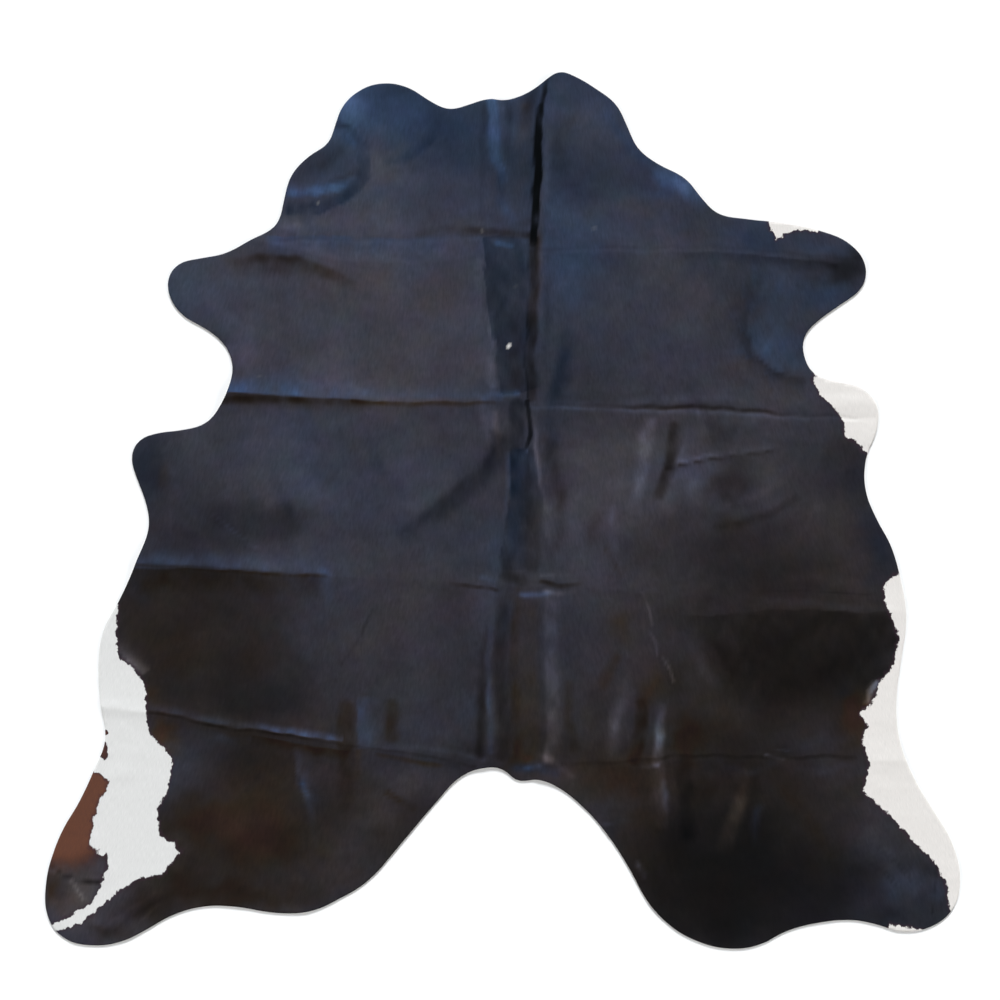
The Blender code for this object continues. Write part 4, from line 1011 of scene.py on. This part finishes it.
def coat_look(points):
    """What the coat's material reads at points in cm, by name."""
    tone = clouds(points, TONE_CLOUDS, SEEDS["tone"])
    warmth = EVEN_WARMTH + clouds(points, WARMTH_CLOUDS, SEEDS["warmth"])
    for_broad = bent(points, BROAD_BENDS, SEEDS["broad bends"])
    for_blooms = bent(points, BLOOM_BENDS, SEEDS["bloom bends"])
    # The blooms and streaks: the hair's own patches, and painted sheen, shade and highlights.
    for bloom in SHEEN_SHADE_AND_TONE_BLOOMS:
        broad = min(bloom.half_width, bloom.half_length) > BROAD
        across, along = (for_broad if broad else for_blooms).T
        off = ((across - bloom.across) / bloom.half_width) ** 2
        off += ((along - bloom.along) / bloom.half_length) ** 2
        near = np.exp(-off)
        tone += bloom.tone * near
        warmth += bloom.warmth * near * WARMTH_STEP
    for_marks = bent(points, MARK_BENDS, SEEDS["mark bends"])
    uneven = 1 + clouds(points, MARK_UNEVENNESS, SEEDS["marks"])
    for streak in SHEEN_SHADE_AND_TONE_STREAKS:
        near = strength(for_marks, streak) * uneven
        tone += streak.tone * near
        warmth += streak.warmth * near * WARMTH_STEP
    white = np.max([depth_in(points, patch) for patch in WHITE_PATCHES.values()], 0)
    across, along = points.T
    brown = depth_in(points, BROWN_PATCH)
    for x, y, half_width, half_length in BROWN_SPOTS:
        off = np.hypot((across - x) / half_width, (along - y) / half_length)
        white = np.minimum(white, (off - 1) * SPOT_DEPTH)
        brown = np.maximum(brown, (1 - off) * SPOT_DEPTH)
    fleck = np.zeros(len(points))
    for x, y, half_width, half_length, power in FLECKS:
        off = np.hypot((across - x) / half_width, (along - y) / half_length)
        fleck = np.maximum(fleck, power * smooth(FLECK_SOFTNESS - off))
    tints = [clouds(points, TINT_CLOUDS, SEEDS[name]) for name in ("red", "green", "blue")]
    slanted = across + HAIR_SLANT * along * np.tanh(across / HAIR_SLANT_WIDTH)
    return {
        "place": np.column_stack([points, np.zeros(len(points))]) * CM,
        "lie": np.column_stack([slanted, along, np.zeros(len(points))]) * CM,
        "shade": 2 ** tone,
        "warmth": np.clip(warmth / WARMEST, 0, 1),
        "tint": 1 + np.stack(tints, 1),
        "white": white,
        "fleck": fleck,
        "side": across * CM,
        "brown": brown,
    }


def paint(mesh, look):
    """Writes what the material reads onto a mesh's points."""
    for name, values in look.items():
        kind, field = ("FLOAT", "value") if values.ndim == 1 else ("FLOAT_VECTOR", "vector")
        made = mesh.attributes.new(name, kind, "POINT")
        made.data.foreach_set(field, values.astype(np.float32).ravel())


def flat_map(mesh):
    """A map from straight above, for a baked picture of the coat."""
    count = len(mesh.vertices)
    places = np.empty(count * 3, np.float32)
    mesh.vertices.foreach_get("co", places)
    places = places.reshape(-1, 3)[:, :2]
    corner = np.empty(len(mesh.loops), np.int32)
    mesh.loops.foreach_get("vertex_index", corner)
    low, high = (np.array(end[:2]) for end in CAD_BOX)
    spread = MAP_MARGIN + (1 - 2 * MAP_MARGIN) * (places - low) / (high - low)
    layer = mesh.uv_layers.new(name="OFBake")
    layer.uv.foreach_set("vector", spread[corner].astype(np.float32).ravel())


def leather(ring):
    """The tanned hide itself, from its suede underside to the roots of its hair."""
    shape = trimmed_net(LEATHER_SPACING, ring)
    lift(shape, leather_floor(places_of(shape)))
    piece = finished("leather", shape)
    piece.data.materials.append(leather_material())
    thick = piece.modifiers.new("thickness", "SOLIDIFY")
    thick.thickness = LEATHER_THICKNESS
    thick.offset = 1.0
    return piece


def coat(ring, finish):
    """The surface of the flat short hair, turned down over the cut edge."""
    shape = trimmed_net(COAT_SPACING, ring)
    points = places_of(shape)
    look = coat_look(points)
    lift(shape, coat_top(points))
    source = {point: number for number, point in enumerate(shape.verts)}
    rim = [edge for edge in shape.edges if edge.is_boundary]
    for out, down in COAT_EDGE:
        away = {}
        for edge in rim:
            face = edge.link_faces[0]
            side = edge.verts[1].co - edge.verts[0].co
            normal = side.cross(face.normal)
            if normal.dot(face.calc_center_median() - edge.verts[0].co) > 0:
                normal.negate()
            normal.z = 0
            for point in edge.verts:
                away[point] = away.get(point, normal * 0) + normal.normalized()
        turned = bmesh.ops.extrude_edge_only(shape, edges=rim)["geom"]
        lower = [item for item in turned if isinstance(item, bmesh.types.BMVert)]
        for point in lower:
            upper = next(end for edge in point.link_edges for end in edge.verts if end in away)
            point.co += away[upper].normalized() * out
            point.co.z -= down
            source[point] = source[upper]
        rim = [edge for edge in shape.edges if edge.is_boundary]
    source = [source[point] for point in shape.verts]
    piece = finished("coat", shape)
    paint(piece.data, {name: values[source] for name, values in look.items()})
    flat_map(piece.data)
    piece.data.materials.append(finish)
    return piece


# --- The studio --------------------------------------------------------------------------------

def floor():
    """The floor that the hide lies on."""
    shape = bmesh.new()
    bmesh.ops.create_grid(shape, x_segments=1, y_segments=1, size=FLOOR_SIZE / 2)
    stage = finished("floor", shape)
    stage.location.z = -FLOOR_DROP
    stage.data.materials.append(floor_material())
    return stage


def sun(name, heading, elevation, power, colour, softness):
    """Light from far away. It comes from this heading, in degrees from the neck's side, clockwise
    from above."""
    lamp = bpy.data.lights.new(name, "SUN")
    lamp.energy = power
    lamp.color = colour
    lamp.angle = math.radians(softness)
    source = bpy.data.objects.new(name, lamp)
    source.rotation_euler = (math.radians(elevation - 90), 0, math.radians(-heading))
    bpy.context.scene.collection.objects.link(source)


def surroundings():
    """A pale room that is darker overhead."""
    world = bpy.data.worlds.new("room")
    world.use_nodes = True
    bpy.context.scene.world = world
    tree = world.node_tree
    direction = tree.nodes.new("ShaderNodeTexCoord").outputs["Generated"]
    apart = tree.nodes.new("ShaderNodeSeparateXYZ")
    linked(tree, apart.inputs[0], direction)
    power = ranged(tree, apart.outputs["Z"], *ROOM_DIMS, ROOM_LIGHT, ROOM_LIGHT_OVERHEAD)
    background = tree.nodes["Background"]
    background.inputs["Color"].default_value = ROOM_COLOUR
    linked(tree, background.inputs["Strength"], power)


def camera():
    """Looks straight down, with the neck's end up."""
    lens = bpy.data.cameras.new("camera")
    lens.sensor_width = SENSOR
    lens.lens = SENSOR * CAMERA_HEIGHT / PHOTO_SPAN
    lens.clip_end = FLOOR_SIZE
    seen_from = bpy.data.objects.new("camera", lens)
    seen_from.location = (*PHOTO_MIDDLE, CAMERA_HEIGHT)
    bpy.context.scene.collection.objects.link(seen_from)
    bpy.context.scene.camera = seen_from


ring = hide_outline()
hair = coat_material()
hide = leather(ring)
fur = coat(ring, hair)
for piece in (hide, fur):
    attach(piece, "root")
    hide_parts("hide")
stage = floor()

surroundings()
for lamp in SUNS:
    sun(*lamp)
camera()
bpy.context.scene.view_settings.view_transform = "Standard"
